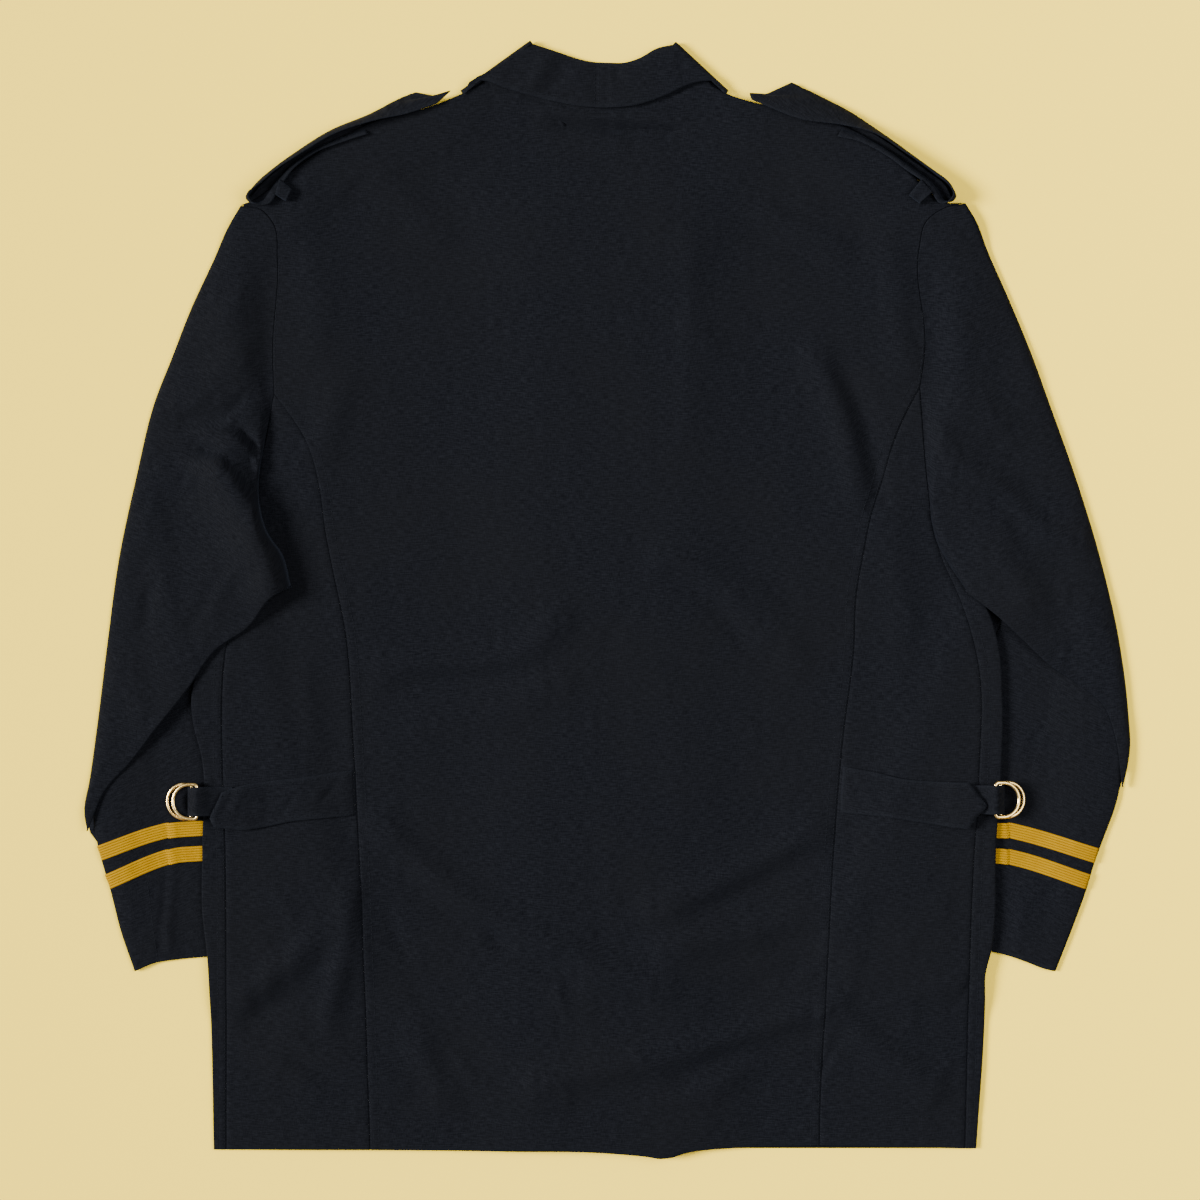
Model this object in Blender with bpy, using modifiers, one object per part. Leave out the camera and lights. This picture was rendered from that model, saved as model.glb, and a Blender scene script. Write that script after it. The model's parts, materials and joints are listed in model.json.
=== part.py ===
"""A naval uniform jacket laid flat with its back up: panels, bent sleeves, collar, straps, braid and D-rings.

Lengths are in millimetres until a mesh is made. X runs to the wearer's right, Y towards the collar and Z up
from the surface that the jacket lies on. The origin is under the middle of the jacket's box.
"""

import math

import bpy
import numpy as np

MM = 0.001
NAME = "naval_uniform_jacket"

# Cloth walls and the spaces between them
CLOTH = 1.2
GAP = 0.3
PITCH = CLOTH + GAP
SEAM = 0.4
ON_FLOOR = CLOTH / 2
BRAID = 1.0
FOLD_RADIUS = 0.9

# What lies between the surface and the front panels
CUFF_STACK = 2 * CLOTH + BRAID + 4 * GAP
STRAP_STACK = 2 * PITCH
COLLAR_STACK = PITCH

# The closure: the left front laps over the right, with the buttons between them
OVERLAP = 32.0
BUTTON_RADIUS = 10.0
BUTTON_THICKNESS = 2.3
CLOSURE_STACK = PITCH + BUTTON_THICKNESS + GAP
BUTTON_ROWS = (215, 75, -65)

# The D-rings: wire, inside width of the bar, and depth from the bar to the far wire, between wire middles
RING_WIRE = 1.5
RING_HALF = 14.0
RING_DEPTH = 20.5
RING_CORNER = 2.6
TAB_WIDTH = 23.5
RING_Y = {"left": -165.5, "right": -164.0}

# Each side's outlines as (x, y) points, measured on the photograph and turned into real sizes
SIDES = {
    "left": dict(
        sign=-1,
        armhole=[(-301, 322), (-285, 319), (-274, 307), (-271, 278), (-275, 204), (-274, 168)],
        underarm=[(-274, 168), (-278, 147), (-282, 125), (-285, 113)],
        side_seam=[(-274, 168), (-259, 148), (-248, 130), (-237, 92), (-232, 56), (-225, 20), (-216, -23),
                   (-209, -116), (-205, -189), (-196, -419), (-195, -451)],
        wrap_seam=[(-285, 113), (-290, 70), (-302, 20), (-315, -60), (-316, -120), (-314, -181), (-313, -451)],
        body_edge=[(-290, 108), (-300, 62), (-313, 26), (-324, -12), (-334, -50), (-341, -80), (-339, -104),
                   (-333, -127), (-332, -204), (-332, -256), (-328, -293), (-326, -329), (-323, -451)],
        shoulder=[(-301, 323), (-287, 328), (-268, 343), (-250, 356), (-224, 374), (-190, 391), (-158, 399),
                  (-140, 405), (-123, 412)],
        sleeve_outer=[(-301, 322), (-312, 303), (-323, 278), (-342, 237), (-358, 196), (-371, 163),
                      (-387, 98), (-401, 32), (-410, -34), (-418, -99), (-425, -150), (-429, -175),
                      (-427, -190)],
        sleeve_inner=[(-285, 113), (-287, 90), (-279, 54), (-267, 36), (-259, 10)],
        elbow_fold=[(-427, -190), (-412, -156), (-392, -134), (-371, -107), (-344, -73), (-321, -41),
                    (-295, -23), (-273, 3), (-259, 10)],
        elbow_valley=[(-422, -172), (-412, -128), (-388, -78), (-356, -28), (-334, 2)],
        forearm_outer=[(-422, -172), (-421, -188), (-418, -203), (-408, -238), (-399, -273), (-388, -305)],
        forearm_inner=[(-334, 2), (-288, -136), (-241, -275)],
        cuff_hem=[(-388, -305), (-371, -298), (-351, -295), (-329, -293), (-285, -285), (-241, -275)],
        braid=([(-419, -209), (-364, -190), (-340, -187.5), (-285, -187), (-262, -187)],
               [(-411, -232), (-359, -210.5), (-338, -208), (-280, -208), (-256, -208)]),
        strap_top=[(-208, -140), (-253, -146), (-308, -155), (-316, -158)],
        strap_bottom=[(-207, -177), (-253, -181), (-308, -188), (-318, -186)],
        strap_tip=-325,
        ring_bars=((-341, 8.8), (-336, 13.8)),
        ring_tilt=(12.0, 13.0),
        epaulette=[(-296, 330, -293, 334, -275, 325), (-289, 339, -284, 338, -266, 340),
                   (-273, 353, -270, 349, -257, 352), (-255, 366, -251, 362, -241, 364),
                   (-228, 383, -224, 377, -216, 374), (-195, 397, -189, 388, -188, 383),
                   (-168, 411, -163, 397, -162, 393), (-158, 415, -140, 405, -150, 398)],
        epaulette_tip=(-130, 415),
        keeper=(-264, 334),
    ),
    "right": dict(
        sign=1,
        armhole=[(292, 324), (275, 320), (260, 309), (254, 285), (259, 204), (255, 173)],
        underarm=[(255, 173), (257, 145), (259, 116), (264, 68)],
        side_seam=[(255, 173), (245, 155), (233, 127), (224, 96), (215, 68), (209, 38), (203, 3), (201, -41),
                   (192, -116), (185, -200), (178, -329), (173, -435), (173, -447)],
        wrap_seam=[(264, 68), (272, 36), (288, -1), (302, -50), (303, -148), (299, -214), (292, -450)],
        body_edge=[(270, 62), (282, 32), (301, -4), (315, -38), (322, -80), (321, -142), (317, -196),
                   (313, -287), (308, -308), (308, -329), (301, -450)],
        shoulder=[(292, 325), (272, 325), (259, 336), (244, 352), (220, 372), (190, 388), (160, 400),
                  (130, 404), (116, 407), (100, 412)],
        sleeve_outer=[(292, 324), (301, 309), (310, 286), (328, 245), (345, 204), (360, 163), (383, 98),
                      (403, 32), (418, -34), (426, -99), (427, -118), (424, -140), (421, -154)],
        sleeve_inner=[(264, 68), (269, 47), (278, 30), (292, 7)],
        elbow_fold=[(421, -154), (415, -112), (406, -88), (384, -69), (363, -55), (336, -30), (323, -18),
                    (292, 7)],
        elbow_valley=[(420, -141), (411, -78), (390, -34), (364, -2), (339, 20)],
        forearm_outer=[(420, -141), (418, -158), (413, -176), (408, -189), (397, -219), (391, -239), (382, -264),
                       (366, -305)],
        forearm_inner=[(339, 20), (284, -112), (223, -262)],
        cuff_hem=[(366, -305), (357, -303), (344, -298), (330, -293), (311, -288), (265, -275), (223, -262)],
        braid=([(404, -211.5), (332, -190), (315, -189), (275, -188), (253, -188)],
               [(397, -233), (327, -210.5), (312, -210), (270, -209), (246, -209)]),
        strap_top=[(192, -137), (219, -142), (241, -147), (265, -149), (290, -150)],
        strap_bottom=[(189, -175), (217, -177), (252, -182), (290, -188)],
        strap_tip=309,
        ring_bars=((320.3, 11.4), (315.8, 16.4)),
        ring_tilt=(17.0, 17.0),
        epaulette=[(284, 330, 281, 334, 268, 326), (281, 337, 276, 341, 258, 340),
                   (267, 349, 262, 351, 244, 350), (250, 362, 239, 364, 228, 362),
                   (221, 383, 212, 377, 205, 374), (197, 399, 190, 382, 188, 378),
                   (170, 413, 161, 391, 160, 388), (150, 423, 117, 408, 140, 392)],
        epaulette_tip=(116, 414),
        keeper=(254, 333),
    ),
}

# The neck, as (x, y): the collar's roll, the fall's edge and the seams under it, from left to right
ROLL_BACK = [(-64, 457), (-40, 447), (-16, 440), (0, 439), (14, 439), (24, 442), (41, 451), (55, 456)]
FALL_EDGE = [(-121, 416), (-112, 424), (-102, 424), (-84, 418), (-64, 412), (-44, 407), (-22, 403), (0, 402),
             (22, 404), (36, 408), (51, 414), (66, 421), (81, 424), (90, 423), (98, 416)]
NECK_BACK = [(-106, 420), (-98.5, 426), (-83, 426), (-60, 421), (-32, 412), (-8, 408), (16, 409), (40, 417),
             (60, 425), (79, 426), (86, 419)]
COLLAR_FRONT = {
    "left": dict(side_top=(-64, 457), side_foot=(-121, 416), roll=[(-64, 457), (-48, 415), (-26, 370), (-8, 344)],
                 edge=[(-121, 416), (-110, 378), (-88, 332), (-62, 296)],
                 neck=[(-99.5, 424.5), (-86, 372), (-42, 335)]),
    "right": dict(side_top=(55, 456), side_foot=(98, 416), roll=[(55, 456), (40, 415), (22, 370), (8, 344)],
                  edge=[(98, 416), (92, 378), (78, 332), (60, 296)],
                  neck=[(80.5, 424.5), (72, 372), (40, 335)]),
}
HEM_BACK = [(-195, -451), (-89, -452), (-7, -453), (30, -456), (46, -458), (64, -453), (108, -449), (173, -447)]

# Soft ridges on the back and the sleeves: height, half width, then the (x, y) points they run through
BACK_FOLDS = [
    (3.0, 12, (178, 181), (195, 145), (203, 116), (208, 85)),
    (2.0, 13, (-220, 176), (-232, 125)),
    (2.5, 15, (124, 315), (182, 286)),
    (2.0, 12, (228, 300), (240, 200)),
    (2.5, 14, (58, 40), (84, 20), (150, -50)),
    (2.0, 14, (-175, -54), (-73, -46), (-40, -17)),
    (3.0, 15, (-183, -189), (-114, -251), (-7, -304), (42, -317)),
    (2.5, 15, (165, -193), (75, -239)),
    (2.5, 15, (160, -262), (50, -284)),
    (3.0, 15, (165, -340), (67, -370), (-56, -394)),
    (2.0, 13, (-159, -362), (-134, -407)),
    (2.2, 12, (-212, -239), (-228, -337)),
    (2.2, 13, (-237, -275), (-300, -326)),
    (2.0, 13, (-261, -366), (-171, -394)),
    (2.2, 14, (186, -337), (264, -399)),
]
SLEEVE_FOLDS = [
    (2.5, 14, (-350, 140), (-300, 135)),
    (2.0, 14, (-335, 192), (-304, 205)),
    (2.5, 13, (-352, 60), (-327, 20)),
    (2.5, 14, (300, 125), (345, 92), (392, 60)),
    (2.0, 14, (300, 180), (345, 150)),
    (2.0, 14, (330, 20), (380, -20)),
]
FOREARM_FOLDS = [(1.5, 14, (-372, -240), (-366, -285)), (1.5, 14, (344, -235), (336, -280))]

# How many spaces each sheet is cut into
ARMHOLE_SHARES = (0, 0.04, 0.1, 0.18, 0.28, 0.4, 0.52, 0.64, 0.76, 0.88, 1)
UNDERARM_STEPS = 4
SEAM_STEPS = 22
SHOULDER_STEPS = 5
FRONT_SHOULDER = (0, 0.1, 0.3, 0.62, 1)
FRONT_HEM = (0, 0.05, 0.12, 0.2, 0.29, 0.42, 0.6, 0.785, 1)
SLEEVE_STEPS = 15
FOREARM_STEPS = 9
TURN = (45, 90, 135)


def ease(value, start, stop):
    """0 before start, 1 after stop, smooth between."""
    t = np.clip((value - start) / (stop - start), 0, 1)
    return t * t * (3 - 2 * t)


def along(points, shares):
    """Places at shares of the length of a smooth line through the points."""
    p = np.asarray(points, float)
    s = np.concatenate([[0], np.cumsum(np.linalg.norm(np.diff(p, axis=0), axis=1))])
    at = np.clip(np.asarray(shares, float), 0, 1) * s[-1]
    k = np.clip(np.searchsorted(s, at, side="right") - 1, 0, len(p) - 2)
    step = s[k + 1] - s[k]
    u = ((at - s[k]) / step)[:, None]
    slope = np.gradient(p, s, axis=0) if len(p) > 2 else np.repeat(np.diff(p, axis=0) / s[-1], 2, axis=0)
    a = p[k] * (2 * u**3 - 3 * u**2 + 1) + p[k + 1] * (3 * u**2 - 2 * u**3)
    return a + step[:, None] * (slope[k] * (u**3 - 2 * u**2 + u) + slope[k + 1] * (u**3 - u**2))


def shares(steps):
    return np.linspace(0, 1, steps + 1)


def travelled(line):
    """Each point's share of the way along a line of points."""
    s = np.concatenate([[0], np.cumsum(np.linalg.norm(np.diff(line, axis=0), axis=1))])
    return s / s[-1]


def panel(top, bottom, left, right, fade=1):
    """A grid of (x, y) places, rows down and columns across, filled in between four edges of points."""
    v = ((travelled(left) + travelled(right)) / 2)[:, None, None]
    u = ((travelled(top) + travelled(bottom)) / 2)[None, :, None]
    grid = (1 - v) * top[None] + v * bottom[None]
    bow_left = left[:, None] - ((1 - v) * top[0] + v * bottom[0])
    bow_right = right[:, None] - ((1 - v) * top[-1] + v * bottom[-1])
    return grid + (1 - u) ** fade * bow_left + u ** fade * bow_right


def reach(points, x, y):
    """How far each place lies from the line through the points."""
    best = np.full(np.broadcast(x, y).shape, 1e9)
    for (ax, ay), (bx, by) in zip(points, points[1:]):
        dx, dy = bx - ax, by - ay
        t = np.clip(((x - ax) * dx + (y - ay) * dy) / (dx * dx + dy * dy), 0, 1)
        best = np.minimum(best, np.hypot(x - ax - t * dx, y - ay - t * dy))
    return best


def beyond(a, b, x, y):
    """How far each place lies to the left of the way from a to b."""
    dx, dy = b[0] - a[0], b[1] - a[1]
    return (dx * (y - a[1]) - dy * (x - a[0])) / math.hypot(dx, dy)


def ridges(table, x, y):
    """The height of the soft folds in a table."""
    z = np.zeros(np.broadcast(x, y).shape)
    for height, width, *line in table:
        z = np.maximum(z, height * np.exp(-((reach(line, x, y) / width) ** 2)))
    return z


def cuff_zone(side, x, y):
    """1 where the forearm lies under the body, and 0 a hand's breadth outside it."""
    inner, hem, sign = side["forearm_inner"], side["cuff_hem"], side["sign"]
    past_inner = -sign * beyond(inner[0], inner[-1], x, y)
    past_hem = sign * beyond(hem[0], hem[-1], x, y)
    past_top = y - inner[0][1] - 8
    zone = 1.0
    for past in (past_inner, past_hem, past_top):
        zone = zone * (1 - ease(past, 22, 60))
    return zone


def under_front(x, y):
    """What lies between the surface and the front panels: cuffs, shoulder straps and the collar's fronts."""
    lift = np.zeros(np.broadcast(x, y).shape)
    for name, side in SIDES.items():
        half = x * side["sign"] > 0
        strap = STRAP_STACK * (1 - ease(reach(side["shoulder"][1:8], x, y), 27, 58))
        front = COLLAR_FRONT[name]
        middle = (np.array(front["roll"])[[0, -1]] + np.array(front["edge"])[[0, -1]]) / 2
        collar = COLLAR_STACK * (1 - ease(reach(middle, x, y), 50, 84))
        cuff = CUFF_STACK * cuff_zone(side, x, y)
        lift = np.where(half, np.maximum(np.maximum(strap, collar), cuff), lift)
    return lift


def lapped(x, y, flat, foot):
    """1 over the lapped fronts, falling to 0 from flat to foot on either side of the middle."""
    return (1 - ease(np.abs(x), flat, foot)) * (1 - ease(y, 318, 350))


def front_height(name, x, y):
    """The middle of a front panel's wall."""
    z = ON_FLOOR + under_front(x, y)
    if name == "right":
        z = z + CLOSURE_STACK * lapped(x, y, OVERLAP + 14, OVERLAP + 70)
    return z


def body_height(x, y):
    """The middle of the back's wall, and of the fronts where they turn up over the side edges."""
    inside = 1e9
    for side in SIDES.values():
        inside = np.minimum(inside, -side["sign"] * (x - side["sign"] * 322))
    puff = 0.7 + 2.1 * ease(inside, 8, 90)
    neck = 1 - 0.6 * ease(y, 330, 420)
    closure = CLOSURE_STACK * lapped(x, y, OVERLAP + 16, OVERLAP + 100)
    soft = ridges(BACK_FOLDS, x, y) * ease(inside, 6, 24)
    return ON_FLOOR + PITCH + under_front(x, y) + closure + puff * neck + soft


def lift_to(points, height):
    """Adds the height of each (x, y) place as its z."""
    return np.concatenate([points, np.asarray(height(points[..., 0], points[..., 1]))[..., None]], axis=-1)


def beside(points, distance):
    """The line moved to the left of its way by a distance."""
    points = np.asarray(points, float)
    way = np.gradient(points, axis=0)
    way /= np.linalg.norm(way, axis=1)[:, None]
    return points + distance * np.stack([-way[:, 1], way[:, 0]], axis=1)


# Blender objects

def collection(name):
    new = bpy.data.collections.new(name)
    bpy.context.scene.collection.children.link(new)
    return new


def material(name, color, roughness, metallic=0.0):
    mat = bpy.data.materials.new(name)
    mat.use_nodes = True
    shader = mat.node_tree.nodes["Principled BSDF"]
    shader.inputs["Base Color"].default_value = (*color, 1)
    shader.inputs["Roughness"].default_value = roughness
    shader.inputs["Metallic"].default_value = metallic
    return mat


def place(obj, mat, smooth=40):
    obj.data.materials.append(mat)
    obj.data.shade_smooth()
    obj.data.set_sharp_from_angle(angle=math.radians(smooth))
    for old in list(obj.users_collection):
        old.objects.unlink(obj)
    parts.objects.link(obj)
    return obj


def sheet(name, grid, mat, thickness=CLOTH, cells=None):
    """Cloth through a grid of wall middles. cells says which of the grid's spaces hold cloth."""
    rows, columns = grid.shape[:2]
    faces = []
    for i in range(rows - 1):
        for j in range(columns - 1):
            if cells is None or cells(i, j):
                a = i * columns + j
                faces.append((a, a + columns, a + columns + 1, a + 1))
    used = sorted({v for face in faces for v in face})
    index = {v: k for k, v in enumerate(used)}
    flat = grid.reshape(-1, 3)
    mesh = bpy.data.meshes.new(name)
    mesh.from_pydata([tuple(flat[v] * MM) for v in used], [], [[index[v] for v in face] for face in faces])
    obj = bpy.data.objects.new(name, mesh)
    wall = obj.modifiers.new("wall", "SOLIDIFY")
    wall.thickness = thickness * MM
    wall.offset = 0
    return place(obj, mat)


# The body

def armhole_line(side):
    upper = along(side["armhole"], ARMHOLE_SHARES)
    lower = along(side["underarm"], shares(UNDERARM_STEPS))
    return upper, lower


def side_seam_line(side):
    return along(side["side_seam"], shares(SEAM_STEPS))


def back_centre(cloth):
    """Neck to hem, between the armholes above and the side-back seams below."""
    edges = {}
    for name, side in SIDES.items():
        upper, _ = armhole_line(side)
        line = np.concatenate([upper, side_seam_line(side)[1:]])
        edges[name] = beside(line, -side["sign"] * SEAM / 2)
    left, right = edges["left"], edges["right"]
    steps = shares(SHOULDER_STEPS)
    left_shoulder = along([tuple(left[0])] + SIDES["left"]["shoulder"][1:], steps)
    right_shoulder = along([tuple(right[0])] + SIDES["right"]["shoulder"][1:], steps)
    top = np.concatenate([left_shoulder, NECK_BACK, right_shoulder[::-1]])
    bottom = along([tuple(left[-1])] + HEM_BACK[1:-1] + [tuple(right[-1])], shares(len(top) - 1))
    sheet("back_centre", lift_to(panel(top, bottom, left, right), body_height), cloth)


def side_back(name, side, cloth):
    """From the armhole and the side-back seam to the front's wrap seam."""
    _, lower = armhole_line(side)
    inward = -side["sign"]
    seam = beside(side_seam_line(side), -inward * SEAM / 2)
    wrap = beside(along(side["wrap_seam"], shares(SEAM_STEPS)), inward * SEAM / 2)
    seam[0] = lower[0] + np.array([inward * 0.1, -1.5])
    top = beside(lower, inward * SEAM / 2)[::-1]
    top[0], top[-1] = wrap[0], seam[0]
    bottom = along([wrap[-1], seam[-1]], shares(UNDERARM_STEPS))
    sheet(f"side_back_{name}", lift_to(panel(top, bottom, wrap, seam), body_height), cloth)


def front(name, side, cloth):
    """Under the back, round the body's side edge and on to the wrap seam on top."""
    sign = side["sign"]
    inward = -sign
    upper, lower = armhole_line(side)
    wrap = beside(along(side["wrap_seam"], shares(SEAM_STEPS)), -inward * SEAM / 2)[1:]
    edge = along(side["body_edge"], shares(SEAM_STEPS))[1:]
    middle = (wrap + edge) / 2
    high = body_height(edge[:, 0] + inward * 2, edge[:, 1])
    low = front_height(name, edge[:, 0] + inward * 2, edge[:, 1])
    radius = (high - low) / 2
    turned = []
    for degrees in (0, 60, 120, 180):
        angle = math.radians(degrees)
        x = edge[:, 0] + inward * radius * (1 - math.sin(angle))
        turned.append(np.stack([x, edge[:, 1], (high + low) / 2 + radius * math.cos(angle)], axis=-1))
    strip = [lift_to(wrap, body_height), lift_to(middle, body_height)]
    armhole = beside(np.concatenate([upper, lower[1:]]), inward * SEAM / 2)
    outer = np.concatenate([armhole, turned[-1][:, :2]])
    edge_x = -sign * OVERLAP
    shoulder = along([tuple(outer[0])] + side["shoulder"][1:], FRONT_SHOULDER)
    top = np.concatenate([shoulder, COLLAR_FRONT[name]["neck"], [(edge_x, 310)]])
    bottom = along([tuple(outer[-1]), (edge_x, outer[-1][1])], FRONT_HEM)
    rows = travelled(outer)
    inner = along([top[-1], bottom[-1]], rows)
    flat = panel(top, bottom, outer, inner, fade=4)
    flat = lift_to(flat, lambda x, y: front_height(name, x, y))
    gone = np.zeros((len(armhole), 5, 3))
    turned_up = np.concatenate([gone, np.stack(strip + turned[:3], axis=1)])
    grid = np.concatenate([turned_up, flat], axis=1)
    first_wrap = len(armhole)
    sheet(f"front_{name}", grid, cloth, cells=lambda i, j: j >= 5 or i >= first_wrap)


# The sleeves

def sleeve_columns(side):
    upper, lower = armhole_line(side)
    line = np.concatenate([upper, lower[1:]])
    return line, travelled(line)


def upper_sleeve_height(side, v, u, x, y):
    """The sleeve's top layer above the elbow: v runs from armhole to elbow and u from outer to inner edge."""
    sign = side["sign"]
    over_body = ease(-sign * (x - np.interp(y, *edge_table(side))), -62, -6)
    full = 6.6 + 4.6 * over_body
    outer_edge = ON_FLOOR + PITCH + 4 * FOLD_RADIUS * ease(v, 0.9, 0.98)
    inner_edge = body_height(x, y) + PITCH + 0.2 + 2 * FOLD_RADIUS * ease(v, 0.6, 0.9)
    crown = np.sqrt(1 - (1 - np.clip(u / 0.16, 0, 1)) ** 2)
    inner_crown = np.sqrt(1 - (1 - np.clip((1 - u) / 0.2, 0, 1)) ** 2)
    z = outer_edge + (full - outer_edge) * crown
    z = inner_edge + (z - inner_edge) * inner_crown + ridges(SLEEVE_FOLDS, x, y) * crown * inner_crown
    from_seam = ease(v, 0, 0.2 - 0.13 * u ** 4)
    seam = body_height(x, y) + (PITCH + 0.1) * ease(u, 0.75, 1)
    return seam * (1 - from_seam) + z * from_seam


def clear_of_body(side, x, y):
    """The lowest place for cloth that crosses the body's side edge from the under layer."""
    inside = side["sign"] * (np.interp(y, *edge_table(side)) - x)
    over = ease(inside, -9, -2)
    return (ON_FLOOR + PITCH) * (1 - over) + (body_height(x, y) + PITCH + 0.1) * over


def edge_table(side):
    """The body's side edge as rising y values with their x values."""
    points = sorted((y, x) for x, y in side["body_edge"])
    return [p[0] for p in points], [p[1] for p in points]


def forearm_height(side, x, y):
    """The top layer from elbow to cuff: flat under the body and round the rings, softly full beside them."""
    sign = side["sign"]
    from_body = sign * (x - np.interp(y, *edge_table(side)))
    from_edge = reach(side["forearm_outer"], x, y)
    full = 2.4 * ease(from_body, 34, 70) + ridges(FOREARM_FOLDS, x, y)
    return ON_FLOOR + PITCH + full * np.sqrt(1 - (1 - np.clip(from_edge / 22, 0, 1)) ** 2)


def sleeve_grid(side):
    """The sleeve's top layer in one sheet: armhole, fold at the elbow, return, inner fold, forearm, cuff."""
    sign, r = side["sign"], FOLD_RADIUS
    armhole, u = sleeve_columns(side)
    armhole = beside(armhole, sign * SEAM / 2)
    fold = along(side["elbow_fold"], u)
    valley = along(side["elbow_valley"], u)
    out = fold - valley
    out /= np.linalg.norm(out, axis=1)[:, None]
    start = fold - out * r
    steps = shares(SLEEVE_STEPS)
    outer = along([tuple(armhole[0])] + side["sleeve_outer"][1:-1] + [tuple(start[0])], steps)
    inner = along([tuple(armhole[-1])] + side["sleeve_inner"][1:-1] + [tuple(start[-1])], steps)
    upper = panel(armhole, start, outer, inner)
    v = ((travelled(outer) + travelled(inner)) / 2)[:, None]
    upper = np.concatenate([upper, upper_sleeve_height(side, v, u[None], upper[..., 0], upper[..., 1])[..., None]],
                           axis=-1)
    top = upper[-1, :, 2]
    rows = [upper]

    def turn(middle, way, centre):
        for degrees in TURN:
            a = math.radians(degrees)
            place_xy = middle + way * r * math.sin(a)
            rows.append(np.concatenate([place_xy, (centre + r * math.cos(a))[:, None]], axis=1)[None])

    turn(start, out, top - r)
    back_to = valley + out * r
    low = forearm_height(side, back_to[:, 0], back_to[:, 1])
    length = np.linalg.norm(start - back_to, axis=1)
    for limit, share in ((999, 1), (999, 0.6), (20, 0.4), (12, 0.25), (5, 0.1), (0, 0)):
        left = np.minimum(limit, length * share)
        xy = back_to + (start - back_to) * (left / length)[:, None]
        raised = ease(left / np.minimum(12, length * 0.8), 0, 1)
        z = (low + 2 * r) * (1 - raised) + (top - 2 * r) * raised
        z = np.maximum(z, clear_of_body(side, xy[:, 0], xy[:, 1]))
        rows.append(np.concatenate([xy, z[:, None]], axis=1)[None])
    turn(back_to, -out, low + r)
    cuff = along(side["cuff_hem"], u)
    steps = shares(FOREARM_STEPS)
    outer = along([tuple(back_to[0])] + side["forearm_outer"][1:], steps)
    inner = along([tuple(back_to[-1])] + side["forearm_inner"][1:], steps)
    lower = panel(back_to, cuff, outer, inner)
    forearm = lift_to(lower, lambda x, y: forearm_height(side, x, y))
    forearm[0, :, 2] = low
    rows.append(forearm)
    return np.concatenate(rows), forearm


def sleeve_under(name, side, cloth):
    """The layer that lies on the surface, from the armhole to the cuff."""
    sign = side["sign"]
    upper, lower = armhole_line(side)
    columns = shares(4)
    armhole = beside(np.concatenate([upper, lower[1:]]), sign * 4 * SEAM)
    top = along(armhole, columns)
    bottom = along([(x, y + 0.6) for x, y in side["cuff_hem"]], columns)
    widest = max(sign * x for x, y in side["sleeve_outer"]) - 1.5
    outer_line = side["sleeve_outer"][1:-1] + [side["sleeve_outer"][-1]] + side["forearm_outer"][2:-1]
    forearm = along(side["forearm_inner"], (0.1, 0.2, 0.35, 0.5, 0.75))
    forearm = [p for p in forearm if sign * (p[0] - np.interp(p[1], *edge_table(side))) < 4]
    inner_line = [(x + sign * 4, y) for x, y in side["body_edge"][1:4] if y > forearm[0][1] + 10] + forearm
    steps = shares(14)
    outer = along([tuple(top[0])] + [(x - sign * 1.5, y) for x, y in outer_line] + [tuple(bottom[0])], steps)
    outer[:, 0] = sign * np.minimum(sign * outer[:, 0], widest)
    inner = along([tuple(top[-1])] + [(x + sign * 1.5, y) for x, y in inner_line] + [tuple(bottom[-1])], steps)
    flat = panel(top, bottom, outer, inner)
    sheet(f"sleeve_under_{name}", lift_to(flat, lambda x, y: np.full(np.shape(x), ON_FLOOR)), cloth)


def cuff_braid(name, side, forearm, braid):
    """Two rows of braid, made from the forearm's own points and moved out."""
    width = 12.0
    lift = CLOTH / 2 + GAP + BRAID / 2 + 0.1
    columns = forearm.shape[1]
    for number, line in enumerate(side["braid"], start=1):
        grid = []
        for j in range(columns):
            column = forearm[:, j]
            wanted = np.interp(side["sign"] * column[:, 0], *rising(side["sign"], line))
            above = column[:, 1] - wanted
            share = np.interp(0, -above, np.arange(len(column)))
            here = at_share(column, share)
            step = 1 / np.linalg.norm(at_share(column, share + 0.5) - at_share(column, share - 0.5))
            pair = [at_share(column, share + way * width / 2 * step) for way in (-1, 1)]
            top = max(p[2] for p in pair + [here]) + lift
            grid.append([(p[0], p[1], top) for p in pair])
        sheet(f"cuff_braid_{name}_{number}", np.array(grid).transpose(1, 0, 2), braid, thickness=BRAID)


def rising(sign, line):
    points = sorted((sign * x, y) for x, y in line)
    return [p[0] for p in points], [p[1] for p in points]


def at_share(column, share):
    """A place on a column of points, at a row number that need not be whole."""
    rows = np.arange(len(column))
    return np.array([np.interp(share, rows, column[:, k]) for k in range(3)])


# The collar

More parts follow.
